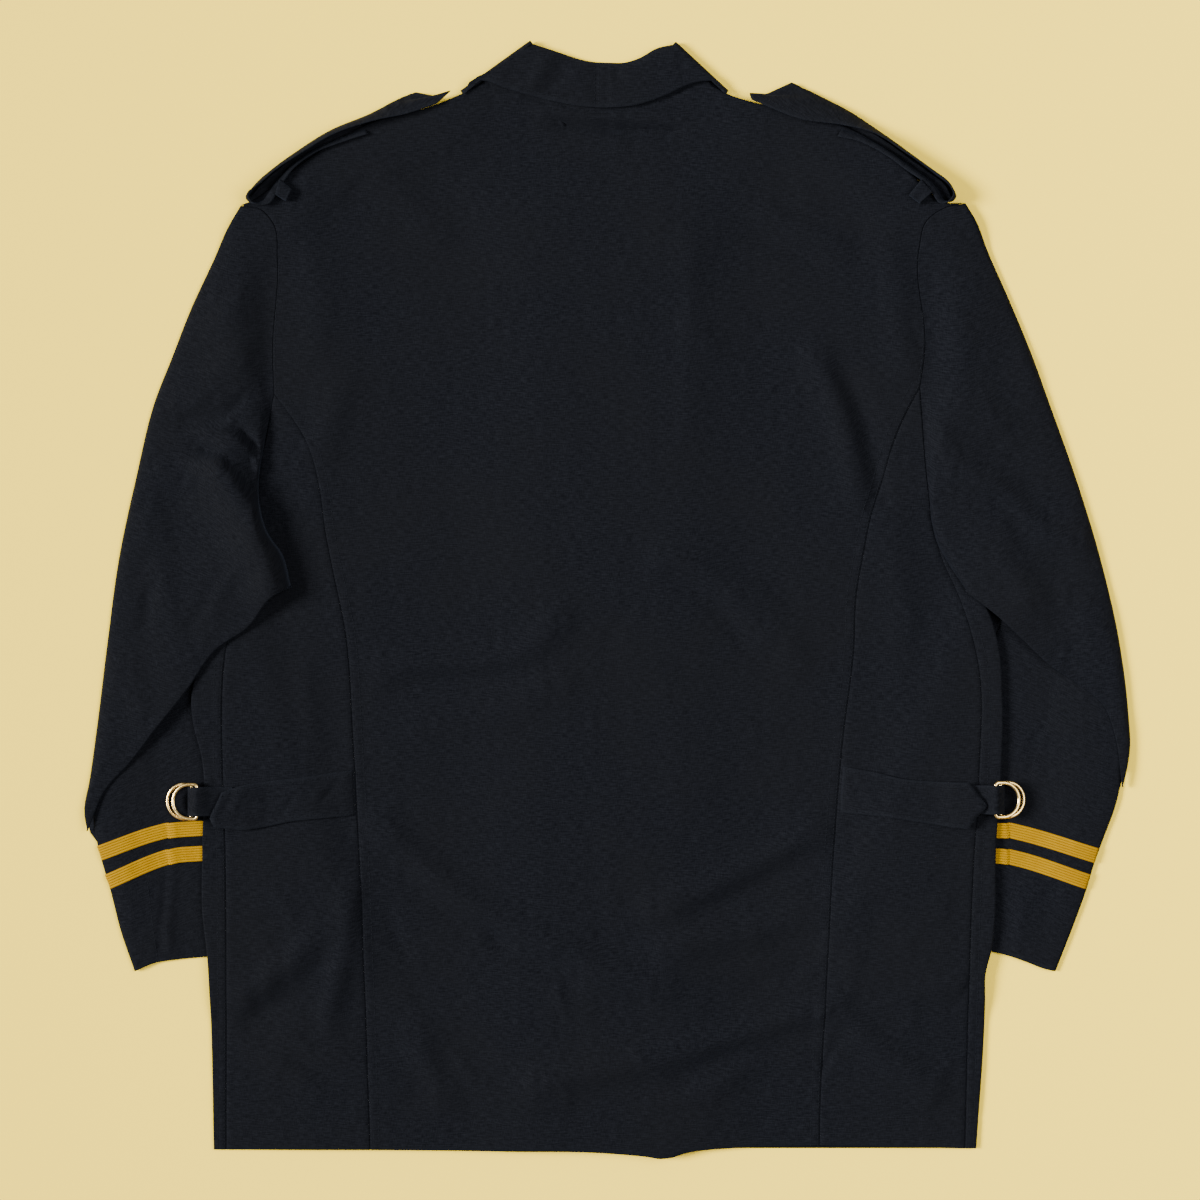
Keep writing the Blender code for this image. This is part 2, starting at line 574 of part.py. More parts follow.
def ring_of_cloth(name, tops, feet, front_tops, front_feet, back_height, low, steps, inset, cloth):
    """Cloth that goes round the flattened neck: front, side turn, back, side turn, front."""
    rows = shares(steps)
    halves, turns, back_edges = {}, {}, {}
    for side_name, side in SIDES.items():
        top, foot = np.array(tops[side_name], float), np.array(feet[side_name], float)
        line = along([tuple(top), tuple(foot)], rows)
        direction = (foot - top) / np.linalg.norm(foot - top)
        outward = np.array([side["sign"] * abs(direction[1]), abs(direction[0])])
        line = line - outward * inset
        high = back_height(line[:, 0], line[:, 1])
        radius = ((high - low) / 2)[:, None]
        base = line - outward * radius
        back_edges[side_name] = base
        turn = []
        for degrees in (30, 90, 150):
            a = math.radians(degrees)
            xy = base + outward * radius * math.sin(a)
            turn.append(np.concatenate([xy, (high + low)[:, None] / 2 + radius * math.cos(a)], axis=1))
        turns[side_name] = turn
        foot_line = np.array([tuple(base[-1])] + list(front_feet[side_name]))
        columns = shares(len(foot_line) - 1)
        top_line = along([tuple(base[0])] + list(front_tops[side_name][1:]), columns)
        end = along([tuple(top_line[-1]), tuple(foot_line[-1])], rows)
        half = panel(top_line, foot_line, base, end)
        halves[side_name] = lift_to(half, lambda x, y: np.full(np.shape(x), low))
    left, right = back_edges["left"], back_edges["right"]
    foot = np.array([tuple(left[-1])] + list(feet["back"]) + [tuple(right[-1])])
    top = along([tuple(left[0])] + list(tops["back"]) + [tuple(right[0])], shares(len(foot) - 1))
    back = lift_to(panel(top, foot, left, right), back_height)
    pieces = [halves["left"][:, ::-1]]
    pieces += [p[:, None] for p in turns["left"][::-1]]
    pieces += [back]
    pieces += [p[:, None] for p in turns["right"]]
    pieces += [halves["right"]]
    sheet(name, np.concatenate(pieces, axis=1), cloth)


def stand_foot(neck):
    """The front neck seam as the stand's edge, ending short of the middle."""
    inward = [(x - math.copysign(SEAM, x), y + SEAM) for x, y in neck[1:]]
    return inward + [(math.copysign(6, neck[-1][0]), 325)]


def collar(cloth):
    fronts = COLLAR_FRONT
    ring_of_cloth(
        "collar_fall",
        dict({n: fronts[n]["side_top"] for n in fronts}, back=ROLL_BACK[1:-1]),
        dict({n: fronts[n]["side_foot"] for n in fronts}, back=FALL_EDGE[1:-1]),
        {n: fronts[n]["roll"] for n in fronts},
        {n: fronts[n]["edge"][1:] for n in fronts},
        lambda x, y: body_height(x, y) + 2.6,
        ON_FLOOR,
        5,
        0.0,
        cloth,
    )
    below_roll = 2.0
    stand_side = {"left": ((-67, 454.5), (-101.5, 430)), "right": ((57.5, 453.5), (83.4, 429.6))}
    ring_of_cloth(
        "collar_stand",
        dict({n: stand_side[n][0] for n in fronts}, back=[(x, y - below_roll) for x, y in ROLL_BACK[1:-1]]),
        dict({n: stand_side[n][1] for n in fronts}, back=[(x, y + SEAM) for x, y in NECK_BACK[2:-2]]),
        {n: [(x * 0.98, y - 2) for x, y in fronts[n]["roll"]] for n in fronts},
        {n: stand_foot(fronts[n]["neck"]) for n in fronts},
        body_height,
        ON_FLOOR + PITCH,
        2,
        2.4,
        cloth,
    )


# The shoulder straps

def strap_sections(side):
    """Each station's edge of the strap: silhouette, back edge of the free layer and of the layer under it."""
    table = np.array(side["epaulette"], float)
    return table[:, 0:2], table[:, 2:4], table[:, 4:6]


def epaulette(name, side, cloth):
    """A doubled strap: the free layer stands off, turns back at the armhole and lies on as the lower layer."""
    stations = shares(11)
    silhouette, free_edge, low_edge = (along(line, stations) for line in strap_sections(side))
    inward = free_edge - silhouette
    inward /= np.linalg.norm(inward, axis=1)[:, None]
    general = low_edge - silhouette
    general /= np.linalg.norm(general, axis=1)[:, None]
    inward = inward * 0.3 + general * 0.7
    inward /= np.linalg.norm(inward, axis=1)[:, None]
    body = body_height(low_edge[:, 0], low_edge[:, 1])
    free_top = body + 8.5 - 4.0 * ease(stations, 0.35, 1.0)
    low_top = body + PITCH + 0.4 + 2.2 * (1 - ease(stations, 0.2, 0.75))
    rounded = ((1.0, 1.0), (0.45, 0.83), (0.12, 0.56))
    close = ((1.0, 1.0), (0.35, 0.95), (0.04, 0.75))
    free = strap_layer(silhouette, free_edge, inward, free_top, ON_FLOOR, 18.0, 3.0, rounded)
    shoulder_edge = silhouette + inward * 4.2
    low = strap_layer(shoulder_edge, low_edge, inward, low_top, ON_FLOOR + PITCH, 14.0, 1.5, close)
    tip = np.array([*side["epaulette_tip"]], float)
    free[-1, 1, :2] = tip
    for k, pull in ((2, 0.45), (4, -0.2), (5, -0.35), (6, -0.45)):
        along_strap = free[-1, k] - free[-2, k]
        free[-1, k, :2] += along_strap[:2] * pull
    free[-1, 0, :2] = free_edge[-1]
    turn = []
    toward_arm = silhouette[0] - silhouette[1]
    toward_arm /= np.linalg.norm(toward_arm)
    for degrees in (30, 65, 115, 150):
        a = math.radians(degrees)
        half = (free[0] + low[0]) / 2
        spread = (free[0] - low[0]) / 2
        row = half + spread * math.cos(a)
        bulge = np.linalg.norm(spread[:, :2], axis=1) * math.sin(a) * 0.8
        row[:, :2] += toward_arm[None] * bulge[:, None]
        turn.append(row)
    kept_low = 8
    grid = np.concatenate([free[::-1], np.array(turn), low[:kept_low]])
    first_turn, last_turn = len(free) - 1, len(free) + len(turn) - 1
    sheet(f"shoulder_strap_{name}", grid, cloth,
          cells=lambda i, j: j < 2 or not first_turn <= i <= last_turn)
    return low, inward


def strap_layer(outer, back_edge, inward, top, bottom, reach_under, under_radius, over):
    """Sections from the back edge over the shoulder's rounded edge to the part that lies under the front."""
    rows = []
    for in_share, up_share in over:
        xy = outer + (back_edge - outer) * in_share
        rows.append(np.concatenate([xy, (bottom + (top - bottom) * up_share)[:, None]], axis=1))
    for along_in, up_share in ((0.0, 0.3), (under_radius * 0.35, 0.08)):
        xy = outer + inward * along_in
        rows.append(np.concatenate([xy, (bottom + (top - bottom) * up_share)[:, None]], axis=1))
    for along_in in (under_radius + 1.5, reach_under):
        xy = outer + inward * along_in
        rows.append(np.concatenate([xy, np.full((len(xy), 1), bottom)], axis=1))
    return np.stack(rows, axis=1)


def keeper(name, side, low, inward, cloth):
    """A small loop over the strap's lower layer, beside the armhole."""
    centre = np.array(side["keeper"], float)
    k = int(np.argmin(np.linalg.norm(low[:, 0, :2] - centre, axis=1)))
    along_strap = low[k + 1, 0, :2] - low[k, 0, :2]
    along_strap /= np.linalg.norm(along_strap)
    into = inward[k]
    top = low[k, 0, 2] + PITCH + 0.9
    foot = float(body_height(*(centre + into * 5))) + PITCH + 0.2
    path = [(8.5, foot), (5.5, foot + 0.3), (3.4, (foot + top) / 2), (1.8, top), (-1.0, top + 0.3)]
    back = low[k, 0, :2]
    grid = []
    for half in (-5.5, 0, 5.5):
        grid.append([(*(back + into * d + along_strap * half), z) for d, z in path])
    sheet(f"strap_keeper_{name}", np.array(grid), cloth)


# The waist straps, their ring tabs and the rings

def waist_strap(name, side, cloth):
    """A flat strap from the side-back seam, raised at its end where the ring tab comes out from under it."""
    columns = shares(9)
    upper = along(side["strap_top"], columns)
    lower = along(side["strap_bottom"], columns)
    grid = panel(upper, lower, along([upper[0], lower[0]], shares(4)), along([upper[-1], lower[-1]], shares(4)))
    point = np.array([0.25, 0.8, 1.0, 0.8, 0.25])
    grid[:, -1, 0] += (side["strap_tip"] - grid[2, -1, 0]) * point

    def height(x, y):
        from_tip = abs(side["strap_tip"]) - np.abs(x)
        over_tab = (2 * PITCH + 0.2) * (1 - ease(from_tip, 24, 46)) + 2.4 * (1 - ease(from_tip, 0, 14))
        return body_height(x, y) + PITCH + 0.9 + over_tab

    sheet(f"waist_strap_{name}", lift_to(grid, height), cloth)


def ring_tab(name, side, cloth):
    """A band of cloth that goes round both rings' bars and back on itself."""
    sign = side["sign"]
    (low_x, low_z), (high_x, high_z) = side["ring_bars"]
    y = RING_Y[name]
    clear = RING_WIRE + GAP + CLOTH / 2 + 0.15
    on_body = float(body_height(low_x - sign * 26, y)) + 0.15
    tip = abs(side["strap_tip"])
    root = tip - 18
    over_edge = min(abs(side["body_edge"][7][0]) - 1.5, abs(low_x) - 6)
    path = [(root, on_body + PITCH), (over_edge, on_body + PITCH), (abs(low_x) - 1.5, low_z - clear)]
    for centre_x, centre_z, turn in ((abs(low_x), low_z, (-75, -30, 10, 48)), (abs(high_x), high_z, (48, 85, 120))):
        for degrees in turn:
            a = math.radians(degrees)
            path.append((centre_x + (clear + 0.1) * math.cos(a), centre_z + (clear + 0.1) * math.sin(a)))
    on_top = on_body + 2 * PITCH + 0.1
    path += [(tip, on_top + 2.2), (tip - 7, on_top + 0.6), (tip - 13, on_top), (root, on_top)]
    grid = []
    for half in (-0.5, 0.0, 0.5):
        grid.append([(sign * x, y + half * TAB_WIDTH, z) for x, z in path])
    sheet(f"ring_tab_{name}", np.array(grid), cloth)


def d_ring_points():
    """The ring's closed line round the D, in its own plane: the bar lies on Y, the round end at +X."""
    line = []
    straight = RING_DEPTH - RING_HALF
    for k in range(15):
        a = math.radians(-90 + 180 * k / 14)
        line.append((straight + RING_HALF * math.cos(a), RING_HALF * math.sin(a)))
    for sign in (1, -1):
        corner = []
        for degrees in (0, 30, 60, 90):
            a = math.radians(degrees)
            corner.append((RING_CORNER * (1 - math.sin(a)), sign * (RING_HALF - RING_CORNER * (1 - math.cos(a)))))
        line += corner if sign == 1 else corner[::-1]
    return line


def d_ring(name, level, side, brass):
    """A D-ring hinged on its bar, lying out over the sleeve."""
    sign = side["sign"]
    k = 0 if level == "lower" else 1
    bar_x, bar_z = side["ring_bars"][k]
    tilt = math.radians(side["ring_tilt"][k])
    curve = bpy.data.curves.new(f"d_ring_{level}_{name}", "CURVE")
    curve.dimensions = "3D"
    spline = curve.splines.new("POLY")
    points = d_ring_points()
    spline.points.add(len(points) - 1)
    spline.use_cyclic_u = True
    for point, (x, y) in zip(spline.points, points):
        point.co = (sign * x * math.cos(tilt) * MM, y * MM, -x * math.sin(tilt) * MM, 1)
    curve.bevel_depth = RING_WIRE * MM
    curve.bevel_resolution = 2
    temporary = bpy.data.objects.new("wire", curve)
    parts.objects.link(temporary)
    mesh = bpy.data.meshes.new_from_object(temporary.evaluated_get(bpy.context.evaluated_depsgraph_get()))
    bpy.data.objects.remove(temporary)
    mesh.name = f"d_ring_{level}_{name}"
    obj = bpy.data.objects.new(mesh.name, mesh)
    obj.location = (bar_x * MM, RING_Y[name] * MM, bar_z * MM)
    mesh.materials.clear()
    return place(obj, brass)


def button(number, y, horn):
    """A plain disc between the lapped fronts."""
    base = ON_FLOOR + CLOTH / 2 + GAP + BUTTON_THICKNESS / 2
    bpy.ops.mesh.primitive_cylinder_add(
        vertices=24, radius=BUTTON_RADIUS * MM, depth=BUTTON_THICKNESS * MM, location=(0, y * MM, base * MM))
    obj = bpy.context.active_object
    obj.name = f"button_{number}"
    obj.data.name = obj.name
    place(obj, horn)


for old_object in list(bpy.data.objects):
    bpy.data.objects.remove(old_object)
parts = collection(NAME)
navy = material("navy twill", (0.0095, 0.0105, 0.0140), 0.85)
gold = material("gold braid", (0.80, 0.42, 0.01), 0.45, 0.35)
brass = material("brass", (0.86, 0.66, 0.36), 0.18, 1.0)
horn = material("button black", (0.012, 0.012, 0.014), 0.4)

back_centre(navy)
collar(navy)
for side_name, shape in SIDES.items():
    side_back(side_name, shape, navy)
    front(side_name, shape, navy)
    whole_sleeve, forearm_part = sleeve_grid(shape)
    sheet(f"sleeve_top_{side_name}", whole_sleeve, navy)
    sleeve_under(side_name, shape, navy)
    cuff_braid(side_name, shape, forearm_part, gold)
    lower_layer, strap_inward = epaulette(side_name, shape, navy)
    keeper(side_name, shape, lower_layer, strap_inward, navy)
    waist_strap(side_name, shape, navy)
    ring_tab(side_name, shape, navy)
    d_ring(side_name, "lower", shape, brass)
    d_ring(side_name, "upper", shape, brass)
for row, button_y in enumerate(BUTTON_ROWS, start=1):
    button(row, button_y, horn)
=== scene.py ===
"""The looks of the naval uniform jacket, seen from above: twill, seams, stitching, gold lace and brass rings.

Lengths are in millimetres until a mesh is made, and the outlines are those of the part's own source.
"""

import json
import math

import bmesh
import bpy
import numpy as np
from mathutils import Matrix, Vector
from mathutils.bvhtree import BVHTree

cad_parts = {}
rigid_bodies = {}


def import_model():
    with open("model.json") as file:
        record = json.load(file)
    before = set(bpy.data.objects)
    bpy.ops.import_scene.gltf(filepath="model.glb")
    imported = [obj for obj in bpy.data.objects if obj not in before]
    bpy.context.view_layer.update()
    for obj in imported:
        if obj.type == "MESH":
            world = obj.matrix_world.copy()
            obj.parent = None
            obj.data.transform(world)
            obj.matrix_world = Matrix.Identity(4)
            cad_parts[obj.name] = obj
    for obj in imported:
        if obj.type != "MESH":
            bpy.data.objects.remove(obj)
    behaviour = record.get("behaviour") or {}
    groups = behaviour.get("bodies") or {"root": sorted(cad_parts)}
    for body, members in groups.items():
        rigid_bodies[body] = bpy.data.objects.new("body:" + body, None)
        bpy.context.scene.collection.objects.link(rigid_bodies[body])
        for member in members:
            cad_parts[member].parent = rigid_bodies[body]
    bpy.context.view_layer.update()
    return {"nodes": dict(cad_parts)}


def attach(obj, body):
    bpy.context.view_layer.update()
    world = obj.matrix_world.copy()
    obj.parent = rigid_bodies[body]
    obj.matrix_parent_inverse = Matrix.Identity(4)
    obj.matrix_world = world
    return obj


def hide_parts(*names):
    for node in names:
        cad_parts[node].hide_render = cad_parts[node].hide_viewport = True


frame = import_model()

MM = 0.001
BODY = "jacket"

# Cloth walls and the spaces between them
CLOTH = 1.2
GAP = 0.3
PITCH = CLOTH + GAP
SEAM = 0.4
ON_FLOOR = CLOTH / 2
BRAID = 1.0
FOLD_RADIUS = 0.9
WALL = 0.9

# What lies between the surface and the front panels
CUFF_STACK = 2 * CLOTH + BRAID + 4 * GAP
STRAP_STACK = 2 * PITCH
COLLAR_STACK = PITCH

# The closure
OVERLAP = 32.0
CLOSURE_STACK = PITCH + 2.3 + GAP

# The D-rings and their tabs
RING_WIRE = 1.5
RING_HALF = 14.0
RING_DEPTH = 20.5
RING_CORNER = 2.6
TAB_WIDTH = 23.5
RING_Y = {"left": -165.5, "right": -164.0}

# Stitching and lace
STITCH = 2.3
STITCH_GAP = 0.8
THREAD = 0.45
LACE_WIDTH = 12.4
LACE_RISE = 0.75
LACE_CORDS = 6
LABEL_ROWS = [
    [(-42, 367), (26, 367), (26, 344)],
    [(-42, 367), (-42, 352), (0, 352), (12, 354), (23, 353)],
    [(-14, 347), (-14, 338), (26, 337)],
]

# The second row of stitches beside each seam, the strap's margin, and the lace's step over the cuff's vent
SIDE_ROW = 7.5
WRAP_ROW = 7.0
STRAP_MARGIN = 3.2
VENT_LENGTH = 1.4
VENT_SHIFT = 0.7
VENT_STEP = 0.9

# Colours, linear
NAVY_LOW = (0.0013, 0.0015, 0.0024)
NAVY_HIGH = (0.0057, 0.0064, 0.0089)
NAVY_WARM = (0.0040, 0.0042, 0.0050)
# The turned edges' paler colour is partly wear and partly a painted sheen
NAVY_WORN_AND_SHEEN = (0.0068, 0.0078, 0.0105)
LACE_DEEP = (0.18, 0.090, 0.0001)
LACE_BRIGHT = (0.37, 0.200, 0.0001)
LACE_DULL = (0.21, 0.097, 0.0001)
BRASS_PALE = (0.80, 0.58, 0.24)
BRASS_DEEP = (0.62, 0.42, 0.15)
HORN_BLACK = (0.010, 0.010, 0.012)
HORN_WORN = (0.022, 0.020, 0.018)
THREAD_LOW = (0.0022, 0.0027, 0.0042)
THREAD_HIGH = (0.0065, 0.0078, 0.0110)
FLOOR_COLOR = (0.96, 0.68, 0.042, 1)

# The weave's and the lace's repeats, in metres, and the shares of sheen and creases in the twill
TWILL_PITCH = 0.0011
WINDING_PITCH = 0.0009
FURROW_PITCH = 0.0021
TWILL_SHEEN = 0.02
SHEEN_TINT = (0.55, 0.68, 1.0, 1)
CRUMPLE_SHARE = 4.0

# Patches of short creases: middle x, y, spread in x, y, how many, height, lean in degrees
CREASE_SEED = 7
CREASED = [
    (-330, 130, 30, 45, 16, 0.9, 160),
    (-345, 0, 35, 50, 14, 0.8, 120),
    (330, 120, 35, 50, 18, 0.9, 20),
    (350, 0, 30, 45, 14, 0.8, 60),
    (-255, 90, 16, 40, 8, 0.7, 70),
    (230, 120, 18, 50, 10, 0.8, 110),
    (120, -20, 40, 60, 10, 0.7, 130),
    (60, -330, 70, 55, 26, 0.9, 20),
    (-110, -330, 60, 60, 24, 0.9, 150),
    (0, -250, 110, 40, 16, 0.7, 165),
    (-255, -330, 34, 60, 14, 0.8, 100),
    (235, -330, 34, 60, 14, 0.8, 60),
    (-100, -60, 80, 40, 10, 0.5, 10),
    (150, 300, 40, 25, 8, 0.6, 160),
    (-200, 320, 45, 30, 8, 0.6, 30),
    (0, 390, 60, 10, 6, 0.5, 0),
    (-385, -60, 20, 50, 8, 0.7, 100),
    (395, -60, 20, 40, 8, 0.7, 80),
    (-375, -250, 20, 35, 8, 0.5, 100),
    (350, -250, 25, 35, 8, 0.5, 80),
    (0, 120, 140, 120, 20, 0.35, 0),
]

# The view, in metres, and the lights
CAMERA_X, CAMERA_Y, CAMERA_HEIGHT = -0.00697, -0.00082, 3.004
CAMERA_FRAME = 0.984
WORLD_STRENGTH = 0.40
KEY_STRENGTH = 9.6
KEY_WIDTH = 20.0
KEY_PLACE = (-2.35, 0.18, 1.45)
FILL_POWER = 118.0
FILL_WIDTH = 2.4
FILL_PLACE = (1.6, 0.3, 2.6)
ROOM_COLOR = (1.0, 0.98, 0.95, 1)
FLOOR_HALF = 20
FLOOR_DROP = 0.0002

# Places along the long seams as shares of their length, closer along the hem's stitching
HEM = 25.0
SEAM_LENGTH = 620
NEAR_HEM = np.array([-5, -3, -1.6, -0.7, 0, 0.7, 1.6, 3, 5])
SEAM_ROWS = np.unique(np.concatenate([np.linspace(0, 1, 151), 1 - (HEM + NEAR_HEM) / SEAM_LENGTH]))

# The cloth's unevenness as height, wavelength, direction in degrees and start
WAVES = [
    (0.16, 71, 20, 0.4),
    (0.13, 53, 97, 1.9),
    (0.12, 97, 140, 4.4),
    (0.09, 37, 62, 2.7),
    (0.07, 29, 5, 5.2),
    (0.05, 23, 118, 0.9),
]

# Each side's outlines as (x, y) points, measured on the photograph and turned into real sizes
SIDES = {
    "left": dict(
        sign=-1,
        armhole=[(-301, 322), (-285, 319), (-274, 307), (-271, 278), (-275, 204), (-274, 168)],
        underarm=[(-274, 168), (-278, 147), (-282, 125), (-285, 113)],
        side_seam=[(-274, 168), (-259, 148), (-248, 130), (-237, 92), (-232, 56), (-225, 20), (-216, -23),
                   (-209, -116), (-205, -189), (-196, -419), (-195, -451)],
        wrap_seam=[(-285, 113), (-290, 70), (-302, 20), (-315, -60), (-316, -120), (-314, -181),
                   (-313, -451)],
        body_edge=[(-290, 108), (-300, 62), (-313, 26), (-324, -12), (-334, -50), (-341, -80), (-339, -104),
                   (-333, -127), (-332, -204), (-332, -256), (-328, -293), (-326, -329), (-323, -451)],
        shoulder=[(-301, 323), (-287, 328), (-268, 343), (-250, 356), (-224, 374), (-190, 391), (-158, 399),
                  (-140, 405), (-123, 412)],
        sleeve_outer=[(-301, 322), (-312, 303), (-323, 278), (-342, 237), (-358, 196), (-371, 163),
                      (-387, 98), (-401, 32), (-410, -34), (-418, -99), (-425, -150), (-429, -175),
                      (-427, -190)],
        sleeve_inner=[(-285, 113), (-287, 90), (-279, 54), (-267, 36), (-259, 10)],
        sleeve_swell=[(-311, 104), (-296, 72), (-283, 42), (-272, 12)],
        swell=13.5,
        elbow_fold=[(-427, -190), (-412, -156), (-392, -134), (-371, -107), (-344, -73), (-321, -41),
                    (-295, -23), (-273, 3), (-259, 10)],
        elbow_valley=[(-422, -172), (-412, -128), (-388, -78), (-356, -28), (-334, 2)],
        forearm_outer=[(-422, -172), (-421, -188), (-418, -203), (-408, -238), (-399, -273), (-388, -305)],
        forearm_inner=[(-334, 2), (-288, -136), (-241, -275)],
        cuff_hem=[(-388, -305), (-371, -298), (-351, -295), (-329, -293), (-285, -285), (-241, -275)],
        forearm_seam=[(-392, -150), (-384, -200), (-372, -292)],
        vent=-361.0,
        braid=([(-419, -209), (-369, -191.5), (-360, -189.3), (-340, -187.5), (-285, -187), (-262, -187)],
               [(-411, -232), (-364, -212.3), (-355, -209.6), (-338, -208), (-280, -208), (-256, -208)]),
        strap_top=[(-208, -140), (-253, -146), (-308, -155), (-316, -158)],
        strap_bottom=[(-207, -177), (-253, -181), (-308, -188), (-318, -186)],
        strap_tip=-325,
        strap_point=(0.0, 0.3, 0.72, 1.0, 0.55),
        ring_bars=((-341, 8.8), (-336, 13.8)),
        ring_tilt=(12.0, 13.0),
        epaulette=[(-296, 330, -293, 333, -275, 325), (-289, 339, -286, 338, -266, 340),
                   (-273, 353, -271, 350.5, -257, 352), (-255, 366, -252, 363, -241, 364),
                   (-228, 383, -225, 379, -216, 374), (-195, 397, -190, 391, -188, 383),
                   (-168, 411, -163, 397, -162, 393), (-158, 415, -140, 405, -150, 398)],
        epaulette_tip=[(-129, 415.5), (-143, 411.5)],
        keeper=[(-269, 342), (-259, 334), (-263, 326), (-272, 331)],
    ),
    "right": dict(
        sign=1,
        armhole=[(292, 324), (275, 320), (260, 309), (254, 285), (259, 204), (255, 173)],
        underarm=[(255, 173), (257, 145), (259, 116), (264, 68)],
        side_seam=[(255, 173), (245, 155), (233, 127), (224, 96), (215, 68), (209, 38), (203, 3), (201, -41),
                   (192, -116), (185, -200), (178, -329), (173, -435), (173, -447)],
        wrap_seam=[(264, 68), (272, 36), (288, -1), (302, -50), (303, -148), (299, -214), (292, -450)],
        body_edge=[(270, 62), (284, 33), (307, -2), (318, -34), (322, -80), (321, -142), (317, -196),
                   (313, -287), (308, -308), (308, -329), (301, -450)],
        shoulder=[(292, 325), (272, 325), (259, 336), (244, 352), (220, 372), (190, 388), (160, 400),
                  (130, 404), (116, 407), (100, 412)],
        sleeve_outer=[(292, 324), (301, 309), (310, 286), (328, 245), (345, 204), (360, 163), (383, 98),
                      (403, 32), (418, -34), (426, -99), (427, -118), (424, -140), (421, -154)],
        sleeve_inner=[(264, 68), (269, 47), (278, 30), (292, 7)],
        sleeve_swell=[(312, 84), (326, 46), (344, 4)],
        swell=4.0,
        elbow_fold=[(421, -154), (415, -112), (406, -88), (384, -69), (363, -55), (336, -30), (323, -18),
                    (292, 7)],
        elbow_valley=[(420, -141), (411, -78), (390, -34), (364, -2), (339, 20)],
        forearm_outer=[(420, -141), (418, -158), (413, -176), (408, -189), (397, -219), (391, -239),
                       (382, -264), (366, -305)],
        forearm_inner=[(339, 20), (284, -112), (223, -262)],
        cuff_hem=[(366, -305), (357, -303), (344, -298), (330, -293), (311, -288), (265, -275), (223, -262)],
        forearm_seam=[(369, -58), (358, -100), (348, -130), (342, -150)],
        vent=328.0,
        braid=([(404, -211.5), (336, -191.2), (328, -189.4), (315, -189), (275, -188), (253, -188)],
               [(397, -233), (331, -211.8), (323, -210.1), (312, -210), (270, -209), (246, -209)]),
        strap_top=[(192, -137), (219, -142), (241, -147), (265, -149), (290, -150)],
        strap_bottom=[(189, -175), (217, -177), (252, -182), (290, -188)],
        strap_tip=309,
        strap_point=(0.22, 0.62, 1.0, 0.55, 0.2),
        ring_bars=((320.3, 11.4), (315.8, 16.4)),
        ring_tilt=(17.0, 17.0),
        epaulette=[(284, 330, 281, 334, 268, 326), (281, 337, 276, 341, 258, 340),
                   (267, 349, 264, 350, 244, 350), (250, 362, 244, 363, 228, 362),
                   (221, 383, 215, 381, 205, 374), (197, 399, 191, 387, 188, 378),
                   (170, 413, 161, 391, 160, 388), (150, 423, 117, 408, 140, 392)],
        epaulette_tip=[(115, 413.5), (129, 413)],
        keeper=[(255, 342), (264, 332), (255, 324), (246, 331)],
    ),
}

# The neck, as (x, y): the collar's roll, the fall's edge and the seams under it, from left to right
ROLL_BACK = [(-64, 457), (-40, 447), (-16, 440), (0, 439), (14, 439), (24, 442), (41, 451), (55, 456)]
FALL_EDGE = [(-121, 416), (-112, 424), (-102, 424), (-84, 418), (-64, 412), (-44, 407), (-22, 403), (0, 402),
             (22, 404), (36, 408), (51, 414), (66, 421), (81, 424), (90, 423), (98, 416)]
NECK_BACK = [(-106, 420), (-98.5, 426), (-83, 426), (-60, 421), (-32, 412), (-8, 408), (16, 409), (40, 417),
             (60, 425), (79, 426), (86, 419)]
COLLAR_FRONT = {
    "left": dict(side_top=(-64, 457), side_foot=(-121, 416),
                 roll=[(-64, 457), (-48, 415), (-26, 370), (-8, 344)],
                 edge=[(-121, 416), (-110, 378), (-88, 332), (-62, 296)],
                 neck=[(-99.5, 424.5), (-86, 372), (-42, 335)]),
    "right": dict(side_top=(55, 456), side_foot=(98, 416),
                  roll=[(55, 456), (40, 415), (22, 370), (8, 344)],
                  edge=[(98, 416), (92, 378), (78, 332), (60, 296)],
                  neck=[(80.5, 424.5), (72, 372), (40, 335)]),
}
HEM_BACK = [(-195, -451), (-89, -452), (-7, -453), (30, -456), (46, -458), (64, -453), (108, -449),
            (173, -447)]
HEM_LINE = [(-323, -450), (-253, -451), (-171, -453), (-89, -452), (-7, -453), (30, -456), (46, -458),
            (67, -452), (108, -449), (206, -446), (264, -449), (301, -450)]

